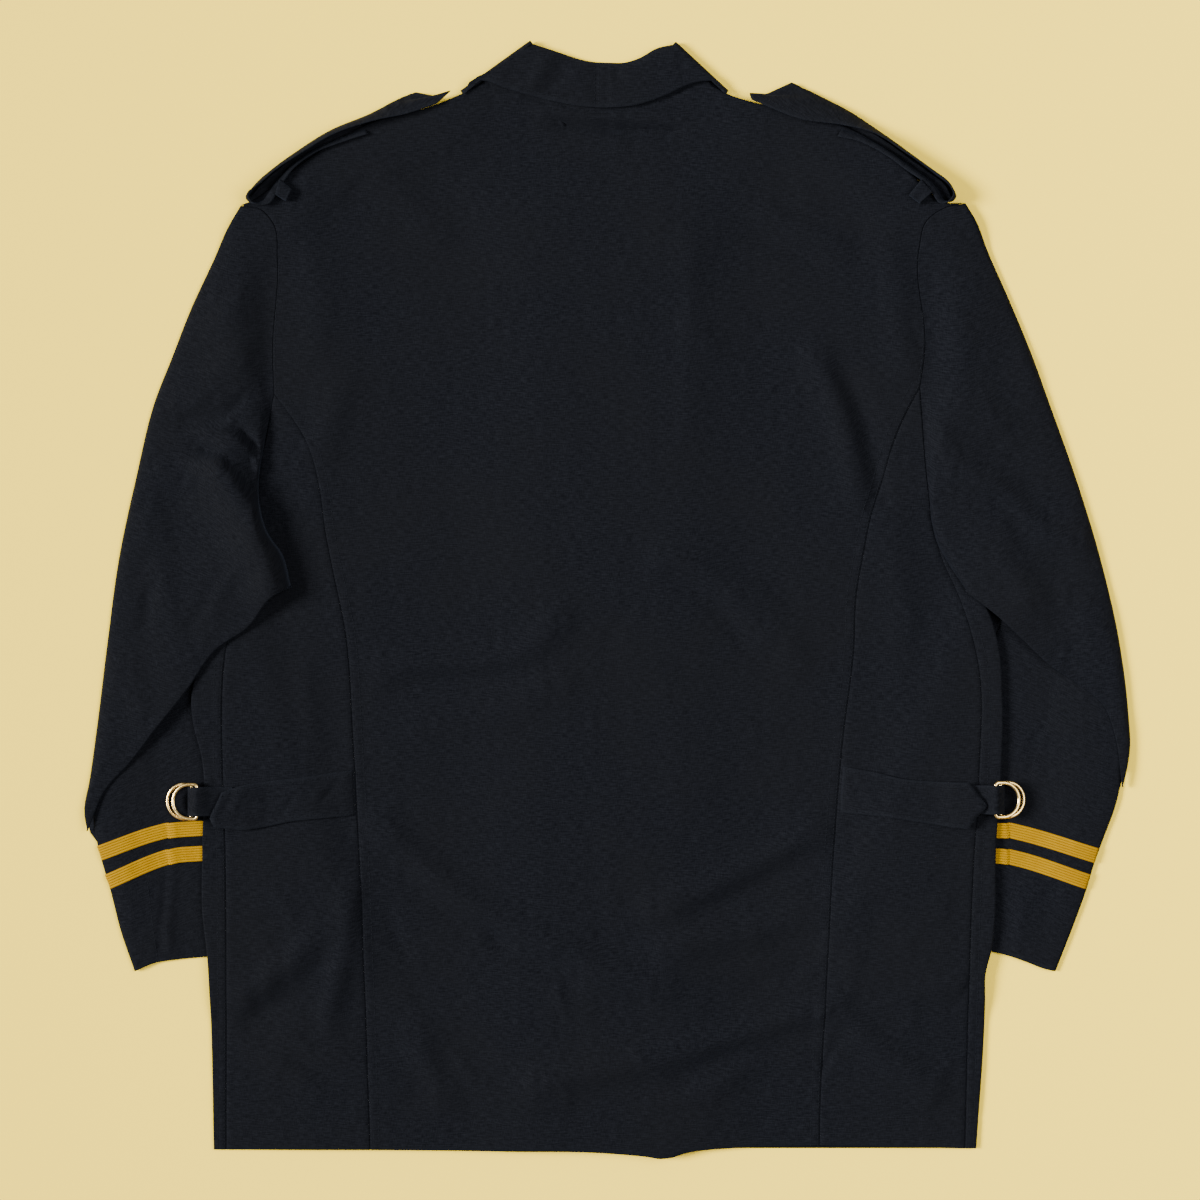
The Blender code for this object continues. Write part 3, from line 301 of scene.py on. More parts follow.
# Folds of the back as height, half width and the (x, y) points along them: ridges above 0, troughs below
BACK_FOLDS = [
    (3.4, 11, (170, 200), (178, 181), (190, 150), (199, 116), (205, 85)),
    (-1.8, 9, (192, 186), (208, 150), (216, 112), (220, 80)),
    (2.2, 13, (-220, 176), (-232, 125)),
    (2.2, 10, (124, 318), (154, 303), (188, 289)),
    (-1.4, 7, (118, 300), (148, 286), (170, 278)),
    (1.4, 8, (70, 222), (88, 205)),
    (1.8, 12, (228, 300), (238, 240), (243, 190)),
    (2.4, 11, (46, 34), (75, 22), (100, 2), (125, -28)),
    (-1.6, 9, (58, 18), (88, -4), (112, -32)),
    (1.8, 12, (112, 10), (140, -18), (152, -52)),
    (2.4, 12, (-180, -54), (-130, -52), (-73, -46), (-40, -17)),
    (-1.4, 9, (-170, -70), (-120, -66), (-70, -60)),
    (1.4, 14, (-150, -100), (-90, -92), (-40, -70)),
    (3.2, 13, (-186, -186), (-146, -228), (-114, -250), (-56, -284), (-7, -304), (42, -317)),
    (-2.0, 11, (-172, -214), (-134, -252), (-80, -282), (-30, -306)),
    (2.6, 12, (168, -191), (124, -216), (75, -239), (40, -252)),
    (-1.4, 9, (160, -212), (116, -236), (70, -256)),
    (2.6, 12, (165, -259), (108, -273), (50, -286)),
    (3.0, 12, (168, -337), (124, -353), (67, -370), (9, -382), (-56, -394)),
    (-1.8, 9, (160, -354), (110, -370), (60, -386)),
    (1.8, 10, (116, -380), (78, -405)),
    (2.2, 11, (-159, -358), (-146, -384), (-134, -410)),
    (1.6, 10, (-120, -395), (-76, -410), (-40, -408)),
    (2.4, 9, (-212, -236), (-216, -280), (-228, -340)),
    (2.2, 10, (-236, -272), (-261, -296), (-304, -330)),
    (-1.2, 8, (-226, -290), (-252, -316), (-290, -345)),
    (2.0, 10, (-262, -364), (-216, -378), (-171, -394)),
    (1.6, 9, (-290, -372), (-262, -384), (-240, -400)),
    (2.2, 11, (186, -335), (223, -370), (266, -400)),
    (1.6, 10, (200, -300), (240, -318), (280, -322)),
    (1.2, 9, (-250, -60), (-240, -120)),
    (1.0, 10, (67, 292), (66, 210), (67, 140)),
    (-2.8, 4, (-48, 392), (-30, 388), (9, 385), (58, 382)),
    (1.4, 7, (-50, 401), (-24, 397), (20, 394), (56, 392)),
    (1.2, 16, (-250, 300), (-236, 240), (-240, 190)),
    (1.4, 12, (-180, 340), (-140, 300)),
    (1.2, 14, (230, 60), (240, -20), (236, -90)),
]
SLEEVE_FOLDS = [
    (-6.5, 4.5, (-338, 124), (-320, 119), (-302, 113), (-288, 114)),
    (3.0, 8, (-344, 108), (-326, 104), (-312, 98)),
    (2.6, 6, (-336, 136), (-312, 131), (-297, 124)),
    (-6.0, 4, (-303, 141), (-294, 131), (-285, 120)),
    (2.0, 6, (-312, 150), (-302, 146)),
    (-3.0, 5, (-355, 147), (-332, 147), (-314, 151), (-294, 168)),
    (2.0, 8, (-350, 160), (-322, 163)),
    (-11.0, 8, (-303, 110), (-293, 100), (-286, 88)),
    (1.8, 8, (-372, 110), (-350, 92)),
    (-1.6, 5, (-374, 12), (-380, -24)),
    (2.2, 12, (-304, 196), (-322, 182), (-340, 168)),
    (2.0, 12, (-296, 250), (-312, 225)),
    (2.4, 11, (-297, 42), (-311, 26), (-327, -6)),
    (-1.8, 6, (-308, 34), (-324, 10), (-342, -26)),
    (2.0, 11, (-367, 40), (-361, -8)),
    (1.8, 12, (-380, 80), (-372, 60)),
    (2.0, 13, (-395, -60), (-376, -100)),
    (3.0, 9, (264, 146), (279, 118)),
    (3.6, 10, (285, 104), (323, 90), (342, 68), (359, 56), (384, 46)),
    (-2.0, 8, (290, 88), (322, 76), (340, 52)),
    (2.8, 10, (282, 160), (305, 150), (332, 138)),
    (2.2, 9, (300, 168), (320, 149)),
    (1.8, 11, (278, 240), (290, 210)),
    (2.0, 12, (310, 40), (330, 22), (350, -4)),
    (2.0, 12, (380, 4), (398, -28)),
    (1.6, 10, (345, 200), (352, 172)),
]
FOREARM_FOLDS = [
    (1.8, 12, (-372, -240), (-366, -285)),
    (-0.9, 2.2, (-362, -180), (-364, -236), (-370, -300)),
    (0.8, 3.0, (-355, -180), (-357, -236), (-362, -296)),
    (1.4, 10, (-400, -225), (-386, -272)),
    (1.6, 14, (344, -240), (338, -285)),
    (-0.9, 2.2, (328, -182), (325, -232), (322, -292)),
    (0.8, 3.0, (321, -182), (318, -232), (315, -290)),
    (1.6, 8, (364, -102), (404, -110)),
    (-1.0, 2.4, (369, -58), (358, -100), (348, -130), (342, -150)),
]
STRAP_FOLDS = [
    (-1.1, 2.6, (198, -147), (209, -166)),
    (0.8, 4, (206, -150), (216, -164)),
    (-1.0, 2.4, (222, -161), (226, -173)),
    (0.6, 5, (256, -160), (262, -174)),
    (-1.2, 2.4, (-307, -155), (-313, -177)),
    (1.2, 3, (-302, -157), (-308, -180)),
    (-1.0, 2.4, (-236, -167), (-221, -149)),
    (0.7, 3.5, (-243, -168), (-230, -152)),
    (-0.8, 2.6, (-266, -174), (-254, -157)),
    (0.8, 4, (-287, -160), (-280, -180)),
]
COLLAR_FOLDS = [
    (1.6, 6, (-50, 444), (-58, 428), (-68, 417)),
    (1.2, 6, (-86, 438), (-94, 426)),
    (-1.4, 6, (-34, 440), (-42, 424), (-56, 412)),
    (-1.2, 5, (4, 436), (12, 420)),
    (0.9, 7, (44, 444), (52, 430), (58, 418)),
    (0.7, 6, (74, 436), (80, 426)),
    (-0.7, 2.0, (-10, 440), (-10, 402)),
    (0.5, 8, (-20, 425), (14, 424)),
]


def ease(value, start, stop):
    """0 before start, 1 after stop, smooth between."""
    t = np.clip((value - start) / (stop - start), 0, 1)
    return t * t * (3 - 2 * t)


def along(points, shares):
    """Places at shares of the length of a smooth line through the points."""
    p = np.asarray(points, float)
    s = np.concatenate([[0], np.cumsum(np.linalg.norm(np.diff(p, axis=0), axis=1))])
    at = np.clip(np.asarray(shares, float), 0, 1) * s[-1]
    k = np.clip(np.searchsorted(s, at, side="right") - 1, 0, len(p) - 2)
    step = s[k + 1] - s[k]
    u = ((at - s[k]) / step)[:, None]
    slope = np.gradient(p, s, axis=0) if len(p) > 2 else np.repeat(np.diff(p, axis=0) / s[-1], 2, axis=0)
    a = p[k] * (2 * u**3 - 3 * u**2 + 1) + p[k + 1] * (3 * u**2 - 2 * u**3)
    return a + step[:, None] * (slope[k] * (u**3 - 2 * u**2 + u) + slope[k + 1] * (u**3 - u**2))


def shares(steps):
    """Even shares from 0 to 1."""
    return np.linspace(0, 1, steps + 1)


def unit(ways):
    """Each row of directions at length 1."""
    return ways / np.linalg.norm(ways, axis=1)[:, None]


def ridge(distance, width):
    """1 on a line, fading to 0 beside it."""
    return np.exp(-((distance / width) ** 2))


def crowned(share):
    """A quarter round: steep at 0 and level at 1."""
    return np.sqrt(1 - (1 - np.clip(share, 0, 1)) ** 2)


def moved(points, rise):
    """The (x, y) points moved towards the collar."""
    return [(x, y + rise) for x, y in points]


def travelled(line):
    """Each point's share of the way along a line of points."""
    s = np.concatenate([[0], np.cumsum(np.linalg.norm(np.diff(line, axis=0), axis=1))])
    return s / s[-1]


def panel(top, bottom, left, right, fade=1):
    """A grid of (x, y) places, rows down and columns across, filled in between four edges of points."""
    v = ((travelled(left) + travelled(right)) / 2)[:, None, None]
    u = ((travelled(top) + travelled(bottom)) / 2)[None, :, None]
    grid = (1 - v) * top[None] + v * bottom[None]
    bow_left = left[:, None] - ((1 - v) * top[0] + v * bottom[0])
    bow_right = right[:, None] - ((1 - v) * top[-1] + v * bottom[-1])
    return grid + (1 - u) ** fade * bow_left + u ** fade * bow_right


def reach(points, x, y):
    """How far each place lies from the line through the points."""
    best = np.full(np.broadcast(x, y).shape, 1e9)
    for (ax, ay), (bx, by) in zip(points, points[1:]):
        dx, dy = bx - ax, by - ay
        t = np.clip(((x - ax) * dx + (y - ay) * dy) / (dx * dx + dy * dy), 0, 1)
        best = np.minimum(best, np.hypot(x - ax - t * dx, y - ay - t * dy))
    return best


def beyond(a, b, x, y):
    """How far each place lies to the left of the way from a to b."""
    dx, dy = b[0] - a[0], b[1] - a[1]
    return (dx * (y - a[1]) - dy * (x - a[0])) / math.hypot(dx, dy)


def waves(x, y):
    """The cloth's slight unevenness everywhere: a few crossing waves with fixed directions."""
    z = np.zeros(np.broadcast(x, y).shape)
    for size, length, degrees, shift in WAVES:
        a = math.radians(degrees)
        z = z + size * np.sin((x * math.cos(a) + y * math.sin(a)) * 2 * math.pi / length + shift)
    return z


def crumple(x, y):
    """Short shallow creases with a fixed seed, thicker at the elbows, the underarms and the low back."""
    z = np.zeros(np.broadcast(x, y).shape)
    chance = np.random.default_rng(CREASE_SEED)
    for cx, cy, spread_x, spread_y, count, size, lean in CREASED:
        for _ in range(count):
            ax = cx + chance.normal() * spread_x
            ay = cy + chance.normal() * spread_y
            way = math.radians(lean + chance.normal() * 28)
            length = chance.uniform(12, 38)
            width = chance.uniform(2.8, 5.4)
            height = size * chance.uniform(-1.0, 1.0)
            bend = chance.normal() * 5
            bx, by = ax + length * math.cos(way), ay + length * math.sin(way)
            middle = ((ax + bx) / 2 + bend * math.sin(way), (ay + by) / 2 - bend * math.cos(way))
            line = [(ax, ay), middle, (bx, by)]
            near = (np.abs(x - ax) < 70) & (np.abs(y - ay) < 70)
            if near.any():
                flat_x, flat_y = np.broadcast_arrays(x, y)
                z[near] += height * ridge(reach(line, flat_x[near], flat_y[near]), width)
    return z


def folds(table, x, y):
    """The heights of all soft folds in a table, added up."""
    z = np.zeros(np.broadcast(x, y).shape)
    for height, width, *line in table:
        smooth = along(line, shares(10)) if len(line) > 2 else line
        start, stop = (np.hypot(x - px, y - py) for px, py in (line[0], line[-1]))
        fading = ease(start, -5, 9) * ease(stop, -5, 9)
        z = z + height * fading * ridge(reach(smooth, x, y), width)
    return z


def cuff_zone(side, x, y):
    """1 where the forearm lies under the body, and 0 a hand's breadth outside it."""
    inner, hem, sign = side["forearm_inner"], side["cuff_hem"], side["sign"]
    past_inner = -sign * beyond(inner[0], inner[-1], x, y)
    past_hem = sign * beyond(hem[0], hem[-1], x, y)
    past_top = y - inner[0][1] - 8
    zone = 1.0
    for past in (past_inner, past_hem, past_top):
        zone = zone * (1 - ease(past, 22, 60))
    return zone


def under_front(x, y):
    """What lies between the surface and the front panels: cuffs, shoulder straps and the collar's fronts."""
    lift = np.zeros(np.broadcast(x, y).shape)
    for name, side in SIDES.items():
        half = x * side["sign"] > 0
        strap = STRAP_STACK * (1 - ease(reach(side["shoulder"][1:8], x, y), 27, 58))
        front = COLLAR_FRONT[name]
        middle = (np.array(front["roll"])[[0, -1]] + np.array(front["edge"])[[0, -1]]) / 2
        collar = COLLAR_STACK * (1 - ease(reach(middle, x, y), 50, 84))
        cuff = CUFF_STACK * cuff_zone(side, x, y)
        lift = np.where(half, np.maximum(np.maximum(strap, collar), cuff), lift)
    return lift


def lapped(x, y, flat, foot):
    """1 over the lapped fronts, falling to 0 from flat to foot on either side of the middle."""
    return (1 - ease(np.abs(x), flat, foot)) * (1 - ease(y, 318, 350))


def front_height(name, x, y):
    """The middle of a front panel's wall."""
    z = ON_FLOOR + under_front(x, y)
    if name == "right":
        z = z + CLOSURE_STACK * lapped(x, y, OVERLAP + 14, OVERLAP + 70)
    return z


def seam_dip(x, y):
    """Seams, hem and the fall's edge press a narrow groove, with a low swelling where edges are turned in."""
    z = np.zeros(np.broadcast(x, y).shape)
    for side in SIDES.values():
        for line, row in ((side["side_seam"], -SIDE_ROW), (side["wrap_seam"], WRAP_ROW)):
            seam = along(line, shares(60))
            away = reach(seam, x, y)
            z = z + 0.15 * ridge(away - 4.5, 2.6) - 0.6 * ridge(away, 1.5)
            z = z - 0.3 * ridge(reach(beside(seam, side["sign"] * row), x, y), 1.4)
    below_fall = beside(along(FALL_EDGE, shares(60)), -2.1)
    z = z - 1.8 * ridge(reach(below_fall, x, y), 1.7)
    from_hem = y - np.interp(x, *zip(*HEM_LINE)) - HEM
    pucker = 0.12 * np.sin(x / 4.1 + 2 * np.sin(x / 37)) * ridge(from_hem, 12)
    return z + pucker - 0.4 * ridge(from_hem, 1.5)


def body_height(x, y):
    """The middle of the back's wall, and of the fronts where they turn up over the side edges."""
    inside = 1e9
    for side in SIDES.values():
        inside = np.minimum(inside, -side["sign"] * (x - side["sign"] * 322))
    puff = 0.7 + 2.1 * ease(inside, 8, 90)
    neck = 1 - 0.6 * ease(y, 330, 420)
    closure = CLOSURE_STACK * lapped(x, y, OVERLAP + 16, OVERLAP + 100)
    soft = (1.6 * folds(BACK_FOLDS, x, y) + waves(x, y) + 1.9 * crumple(x, y)) * ease(inside, 6, 24)
    soft = soft * ease(y, -452, -425)
    return ON_FLOOR + PITCH + under_front(x, y) + closure + puff * neck + soft + seam_dip(x, y)


def at_height(points, z):
    """The (x, y) points with their heights."""
    return np.concatenate([points, np.broadcast_to(z, points.shape[:-1])[..., None]], axis=-1)


def lift_to(points, height):
    """Adds the height of each (x, y) place as its z."""
    return at_height(points, height(points[..., 0], points[..., 1]))


def beside(points, distance):
    """The line moved to the left of its way by a distance."""
    points = np.asarray(points, float)
    way = unit(np.gradient(points, axis=0))
    return points + distance * np.stack([-way[:, 1], way[:, 0]], axis=1)


def close_shares(steps, length, near=(0.7, 1.5, 2.6, 4.2, 6.5, 9.5)):
    """Even shares with closer ones near both ends, where a seam dips."""
    ends = np.array(near) / length
    even = shares(steps)
    even = even[(even == 0) | (even == 1) | ((even > ends[-1] * 1.3) & (even < 1 - ends[-1] * 1.3))]
    return np.unique(np.concatenate([even, ends, 1 - ends]))


# Blender objects

def keep(obj, mat, body=BODY, smooth=40):
    """A finished piece: its material and the body that it rides on."""
    obj.data.materials.clear()
    obj.data.materials.append(mat)
    obj.data.shade_smooth()
    obj.data.set_sharp_from_angle(angle=math.radians(smooth))
    if not obj.users_collection:
        bpy.context.scene.collection.objects.link(obj)
    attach(obj, body)
    return obj


def rim_of(grid, edges):
    """1 at the cloth's turned edges, fading out within a few millimetres."""
    away = np.full(grid.shape[:2], 1e9)
    lines = {"top": grid[0], "bottom": grid[-1], "left": grid[:, 0], "right": grid[:, -1]}
    for edge in edges:
        line = lines[edge]
        for place in line:
            away = np.minimum(away, np.linalg.norm(grid - place, axis=-1))
    return ridge(away, 2.2)


def cloth(name, grid, grain=0.0, cells=None, edges=(), wall=WALL, mat=None):
    """A thin shell of cloth through a grid of wall middles, with its weave as a map in metres."""
    rows, columns = grid.shape[:2]
    i, j = np.mgrid[0:rows - 1, 0:columns - 1]
    first = (i * columns + j).ravel()
    quads = np.stack([first, first + columns, first + columns + 1, first + 1], axis=1)
    if cells is not None:
        quads = quads[cells(i, j).ravel()]
    used, index = np.unique(quads, return_inverse=True)
    points = grid.reshape(-1, 3)[used]
    points[:, 2] = np.maximum(points[:, 2], wall / 2)
    mesh = bpy.data.meshes.new(name)
    mesh.from_pydata((points * MM).tolist(), [], index.reshape(-1, 4).tolist())
    turn = np.broadcast_to(np.radians(np.asarray(grain, float)), grid.shape[:2]).ravel()[used]
    weave = np.stack([points[:, 0] * np.cos(turn) + points[:, 1] * np.sin(turn),
                      points[:, 1] * np.cos(turn) - points[:, 0] * np.sin(turn) + points[:, 2]], axis=1) * MM
    layer = mesh.uv_layers.new(name="weave")
    corners = np.zeros(len(mesh.loops), int)
    mesh.loops.foreach_get("vertex_index", corners)
    layer.data.foreach_set("uv", weave[corners].ravel())
    rim = mesh.attributes.new("rim", "FLOAT", "POINT")
    # The rim share marks edge wear together with a painted sheen
    worn = rim_of(grid, edges).ravel()[used] if edges else np.zeros(len(used))
    rim.data.foreach_set("value", worn)
    obj = bpy.data.objects.new(name, mesh)
    shell = obj.modifiers.new("wall", "SOLIDIFY")
    shell.thickness = wall * MM
    shell.offset = 0
    obj = keep(obj, mat or navy)
    pieces[name] = obj
    return obj


# The body

def armhole_line(side, steps=(44, 16)):
    """The armhole's seam down to the underarm, and from there to the wrap seam."""
    upper = along(side["armhole"], shares(steps[0]))
    lower = along(side["underarm"], shares(steps[1]))
    return upper, lower


def back_centre():
    """Neck to hem, between the armholes above and the side-back seams below."""
    edges = {}
    for name, side in SIDES.items():
        upper, _ = armhole_line(side)
        line = np.concatenate([upper, along(side["side_seam"], SEAM_ROWS)[1:]])
        edges[name] = beside(line, -side["sign"] * SEAM / 2)
    left, right = edges["left"], edges["right"]
    close = np.array([0, 0.004, 0.009, 0.016, 0.026, 0.04])
    steps = np.concatenate([close, np.linspace(0.06, 1, 24)])
    left_shoulder = along([tuple(left[0])] + SIDES["left"]["shoulder"][1:], steps)
    right_shoulder = along([tuple(right[0])] + SIDES["right"]["shoulder"][1:], steps)
    top = np.concatenate([left_shoulder, along(NECK_BACK, shares(64)), right_shoulder[::-1]])
    bottom = along([tuple(left[-1])] + HEM_BACK[1:-1] + [tuple(right[-1])], travelled(top))
    grid = lift_to(panel(top, bottom, left, right), body_height)
    obj = cloth("twill_back_centre", grid, edges=("bottom",))
    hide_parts("back_centre")


def side_back(name, side):
    """From the armhole and the side-back seam to the front's wrap seam."""
    _, lower = armhole_line(side)
    inward = -side["sign"]
    seam = beside(along(side["side_seam"], SEAM_ROWS), -inward * SEAM / 2)
    wrap = beside(along(side["wrap_seam"], SEAM_ROWS), inward * SEAM / 2)
    seam[0] = lower[0] + np.array([inward * 0.1, -1.5])
    columns = close_shares(24, 100, near=(0.9, 1.9, 3.2, 5.0))
    top = along(beside(lower, inward * SEAM / 2)[::-1], columns)
    top[0], top[-1] = wrap[0], seam[0]
    bottom = along([wrap[-1], seam[-1]], columns)
    grid = lift_to(panel(top, bottom, wrap, seam), body_height)
    obj = cloth(f"twill_side_back_{name}", grid, edges=("bottom",))
    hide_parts(f"side_back_{name}")


def front(name, side):
    """Under the back, round the body's side edge and on to the wrap seam on top."""
    sign = side["sign"]
    inward = -sign
    upper, lower = armhole_line(side, (20, 8))
    wrap = beside(along(side["wrap_seam"], SEAM_ROWS), -inward * SEAM / 2)[1:]
    edge = along(side["body_edge"], SEAM_ROWS)[1:]
    high = body_height(edge[:, 0] + inward * 2, edge[:, 1])
    low = front_height(name, edge[:, 0] + inward * 2, edge[:, 1])
    radius = (high - low) / 2
    turned = []
    for degrees in (0, 25, 50, 75, 105, 130, 155, 180):
        angle = math.radians(degrees)
        x = edge[:, 0] + inward * radius * (1 - math.sin(angle))
        turned.append(np.stack([x, edge[:, 1], (high + low) / 2 + radius * math.cos(angle)], axis=-1))
    strip = []
    for share in (0, 0.05, 0.11, 0.2, 0.32, 0.46, 0.6, 0.75, 0.88):
        strip.append(lift_to(wrap + (edge + [inward * 3, 0] - wrap) * share, body_height))
    armhole = beside(np.concatenate([upper, lower[1:]]), -inward * 1.2)
    outer = np.concatenate([armhole, turned[-1][:, :2]])
    edge_x = -sign * OVERLAP
    shoulder = along([tuple(outer[0])] + side["shoulder"][1:], shares(12))
    neck = along(COLLAR_FRONT[name]["neck"] + [(edge_x, 310)], shares(10))
    top = np.concatenate([shoulder, neck])
    bottom = along([tuple(outer[-1]), (edge_x, outer[-1][1])], travelled(top) ** 0.8)
    inner = along([top[-1], bottom[-1]], travelled(outer))
    flat = panel(top, bottom, outer, inner, fade=4)
    flat = lift_to(flat, lambda x, y: front_height(name, x, y))
    count = len(strip) + len(turned) - 1
    gone = np.zeros((len(armhole), count, 3))
    turned_up = np.concatenate([gone, np.stack(strip + turned[:-1], axis=1)])
    grid = np.concatenate([turned_up, flat], axis=1)
    first_wrap = len(armhole)
    obj = cloth(f"twill_front_{name}", grid, edges=("bottom",),
                cells=lambda i, j: (j >= count) | (i >= first_wrap))
    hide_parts(f"front_{name}")


# The sleeves

def edge_at(side, level):
    """Where the body's side edge lies in x at a level in y."""
    return np.interp(level, *zip(*sorted((y, x) for x, y in side["body_edge"])))


def upper_sleeve_height(side, v, u, x, y):
    """The sleeve's top layer above the elbow: v runs from armhole to elbow and u from outer to inner edge."""
    sign = side["sign"]
    over_body = ease(-sign * (x - edge_at(side, y)), -62, -6)
    full = 6.6 + 4.6 * over_body + side["swell"] * ridge(reach(side["sleeve_swell"], x, y), 22)
    outer_edge = ON_FLOOR + PITCH + 4 * FOLD_RADIUS * ease(v, 0.9, 0.98)
    inner_edge = body_height(x, y) + PITCH + 0.2 + 2 * FOLD_RADIUS * ease(v, 0.6, 0.9)
    crown = crowned(u / 0.16)
    inner_crown = crowned((1 - u) / 0.08)
    z = outer_edge + (full - outer_edge) * crown
    soft = np.maximum(folds(SLEEVE_FOLDS, x, y) + waves(x, y) + crumple(x, y), -8.0)
    z = inner_edge + (z - inner_edge) * inner_crown + soft * crown * inner_crown
    from_seam = ease(v, 0, 0.2 - 0.13 * u ** 4)
    seam = body_height(x, y) + (PITCH + 0.1) * ease(u, 0.75, 1)
    return seam * (1 - from_seam) + z * from_seam


def clear_of_body(side, x, y):
    """The lowest place for cloth that crosses the body's side edge from the under layer."""
    inside = side["sign"] * (edge_at(side, y) - x)
    over = ease(inside, -9, -2)
    return (ON_FLOOR + PITCH) * (1 - over) + (body_height(x, y) + PITCH + 0.1) * over


def forearm_height(side, x, y):
    """The top layer from elbow to cuff: flat under the body and round the rings, softly full beside them."""
    sign = side["sign"]
    from_body = sign * (x - edge_at(side, y))
    from_edge = reach(side["forearm_outer"], x, y)
    soft = np.maximum(folds(FOREARM_FOLDS, x, y) + 0.5 * waves(x, y) + crumple(x, y), -0.4)
    full = 2.4 * ease(from_body, 34, 70) + soft * ease(from_body, 6, 26)
    return ON_FLOOR + PITCH + full * crowned(from_edge / 22)


# The return layer's rows from the fold to the valley: the most that is left in mm, and its share of the way
RETURN_ROWS = ((999, 1), (999, 0.8), (999, 0.6), (30, 0.5), (20, 0.4), (16, 0.33), (12, 0.25), (8, 0.18),
               (5, 0.1), (2, 0.05), (0, 0))


def sleeve_grid(side):
    """The sleeve's top layer in one sheet: armhole, fold at the elbow, return, inner fold, forearm, cuff."""
    sign, r = side["sign"], FOLD_RADIUS
    upper_line, lower_line = armhole_line(side)
    armhole = np.concatenate([upper_line, lower_line[1:]])
    u = travelled(armhole)
    armhole = beside(armhole, sign * SEAM / 2)
    fold = along(side["elbow_fold"], u)
    valley = along(side["elbow_valley"], u)
    out = unit(fold - valley)
    start = fold - out * r
    steps = np.concatenate([[0, 0.003, 0.007, 0.012, 0.02], np.linspace(0.03, 1, 88)])
    outer = along([tuple(armhole[0])] + side["sleeve_outer"][1:-1] + [tuple(start[0])], steps)
    inner = along([tuple(armhole[-1])] + side["sleeve_inner"][1:-1] + [tuple(start[-1])], steps)
    flat = panel(armhole, start, outer, inner)
    v = ((travelled(outer) + travelled(inner)) / 2)[:, None]
    z = upper_sleeve_height(side, v, u[None], flat[..., 0], flat[..., 1])
    rows = [at_height(flat, z)]
    top = z[-1]

    def turn(middle, way, centre):
        """Half round from one layer to the next."""
        for degrees in range(15, 180, 15):
            a = math.radians(degrees)
            xy = middle + way * r * math.sin(a)
            rows.append(at_height(xy, centre + r * math.cos(a))[None])

    turn(start, out, top - r)
    back_to = valley + out * r
    low = forearm_height(side, back_to[:, 0], back_to[:, 1])
    length = np.linalg.norm(start - back_to, axis=1)
    for limit, share in RETURN_ROWS:
        left = np.minimum(limit, length * share)
        xy = back_to + (start - back_to) * (left / length)[:, None]
        raised = ease(left / np.minimum(12, length * 0.8), 0, 1)
        z = (low + 2 * r) * (1 - raised) + (top - 2 * r) * raised
        above = upper_sleeve_height(side, np.ones(len(u)), u, xy[:, 0], xy[:, 1]) - PITCH
        z = np.where(left > 3, np.minimum(z, above), z)
        z = np.maximum(z, clear_of_body(side, xy[:, 0], xy[:, 1]))
        rows.append(at_height(xy, z)[None])
    turn(back_to, -out, low + r)
    turned = sum(len(part) for part in rows)
    cuff = along(side["cuff_hem"], u)
    steps = shares(84)
    outer = along([tuple(back_to[0])] + side["forearm_outer"][1:], steps)
    inner = along([tuple(back_to[-1])] + side["forearm_inner"][1:], steps)
    forearm = lift_to(panel(back_to, cuff, outer, inner), lambda x, y: forearm_height(side, x, y))
    forearm[0, :, 2] = low
    rows.append(forearm)
    return np.concatenate(rows), turned


def sleeve(name, side):
    """Both layers of a sleeve: the top one with its fold at the elbow, and the one on the floor."""
    sign = side["sign"]
    grid, turned = sleeve_grid(side)
    grain = np.where(np.arange(len(grid)) < turned, sign * 10.0, -sign * 20.0)[:, None]
    obj = cloth(f"twill_sleeve_top_{name}", grid, grain=grain, edges=("bottom",))
    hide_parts(f"sleeve_top_{name}")
    upper, lower = armhole_line(side)
    columns = shares(12)
    top = along(beside(np.concatenate([upper, lower[1:]]), sign * 4 * SEAM), columns)
    bottom = along([(x, y + 0.6) for x, y in side["cuff_hem"]], columns)
    widest = max(sign * x for x, y in side["sleeve_outer"]) - 1.5
    outer_line = side["sleeve_outer"][1:-1] + [side["sleeve_outer"][-1]] + side["forearm_outer"][2:-1]
    forearm = along(side["forearm_inner"], (0.1, 0.2, 0.35, 0.5, 0.75))
    forearm = [p for p in forearm if sign * (p[0] - edge_at(side, p[1])) < 4]
    inner_line = [(x - sign * 2, y) for x, y in side["body_edge"][1:4] if y > forearm[0][1] + 10] + forearm
    steps = shares(60)
    outer = along([tuple(top[0])] + [(x - sign * 1.5, y) for x, y in outer_line] + [tuple(bottom[0])], steps)
    outer[:, 0] = sign * np.minimum(sign * outer[:, 0], widest)
    inner = along([tuple(top[-1])] + [(x - sign * 3, y) for x, y in inner_line] + [tuple(bottom[-1])], steps)
    flat = at_height(panel(top, bottom, outer, inner), ON_FLOOR)
    obj = cloth(f"twill_sleeve_under_{name}", flat, edges=("bottom",))
    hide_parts(f"sleeve_under_{name}")


# The collar

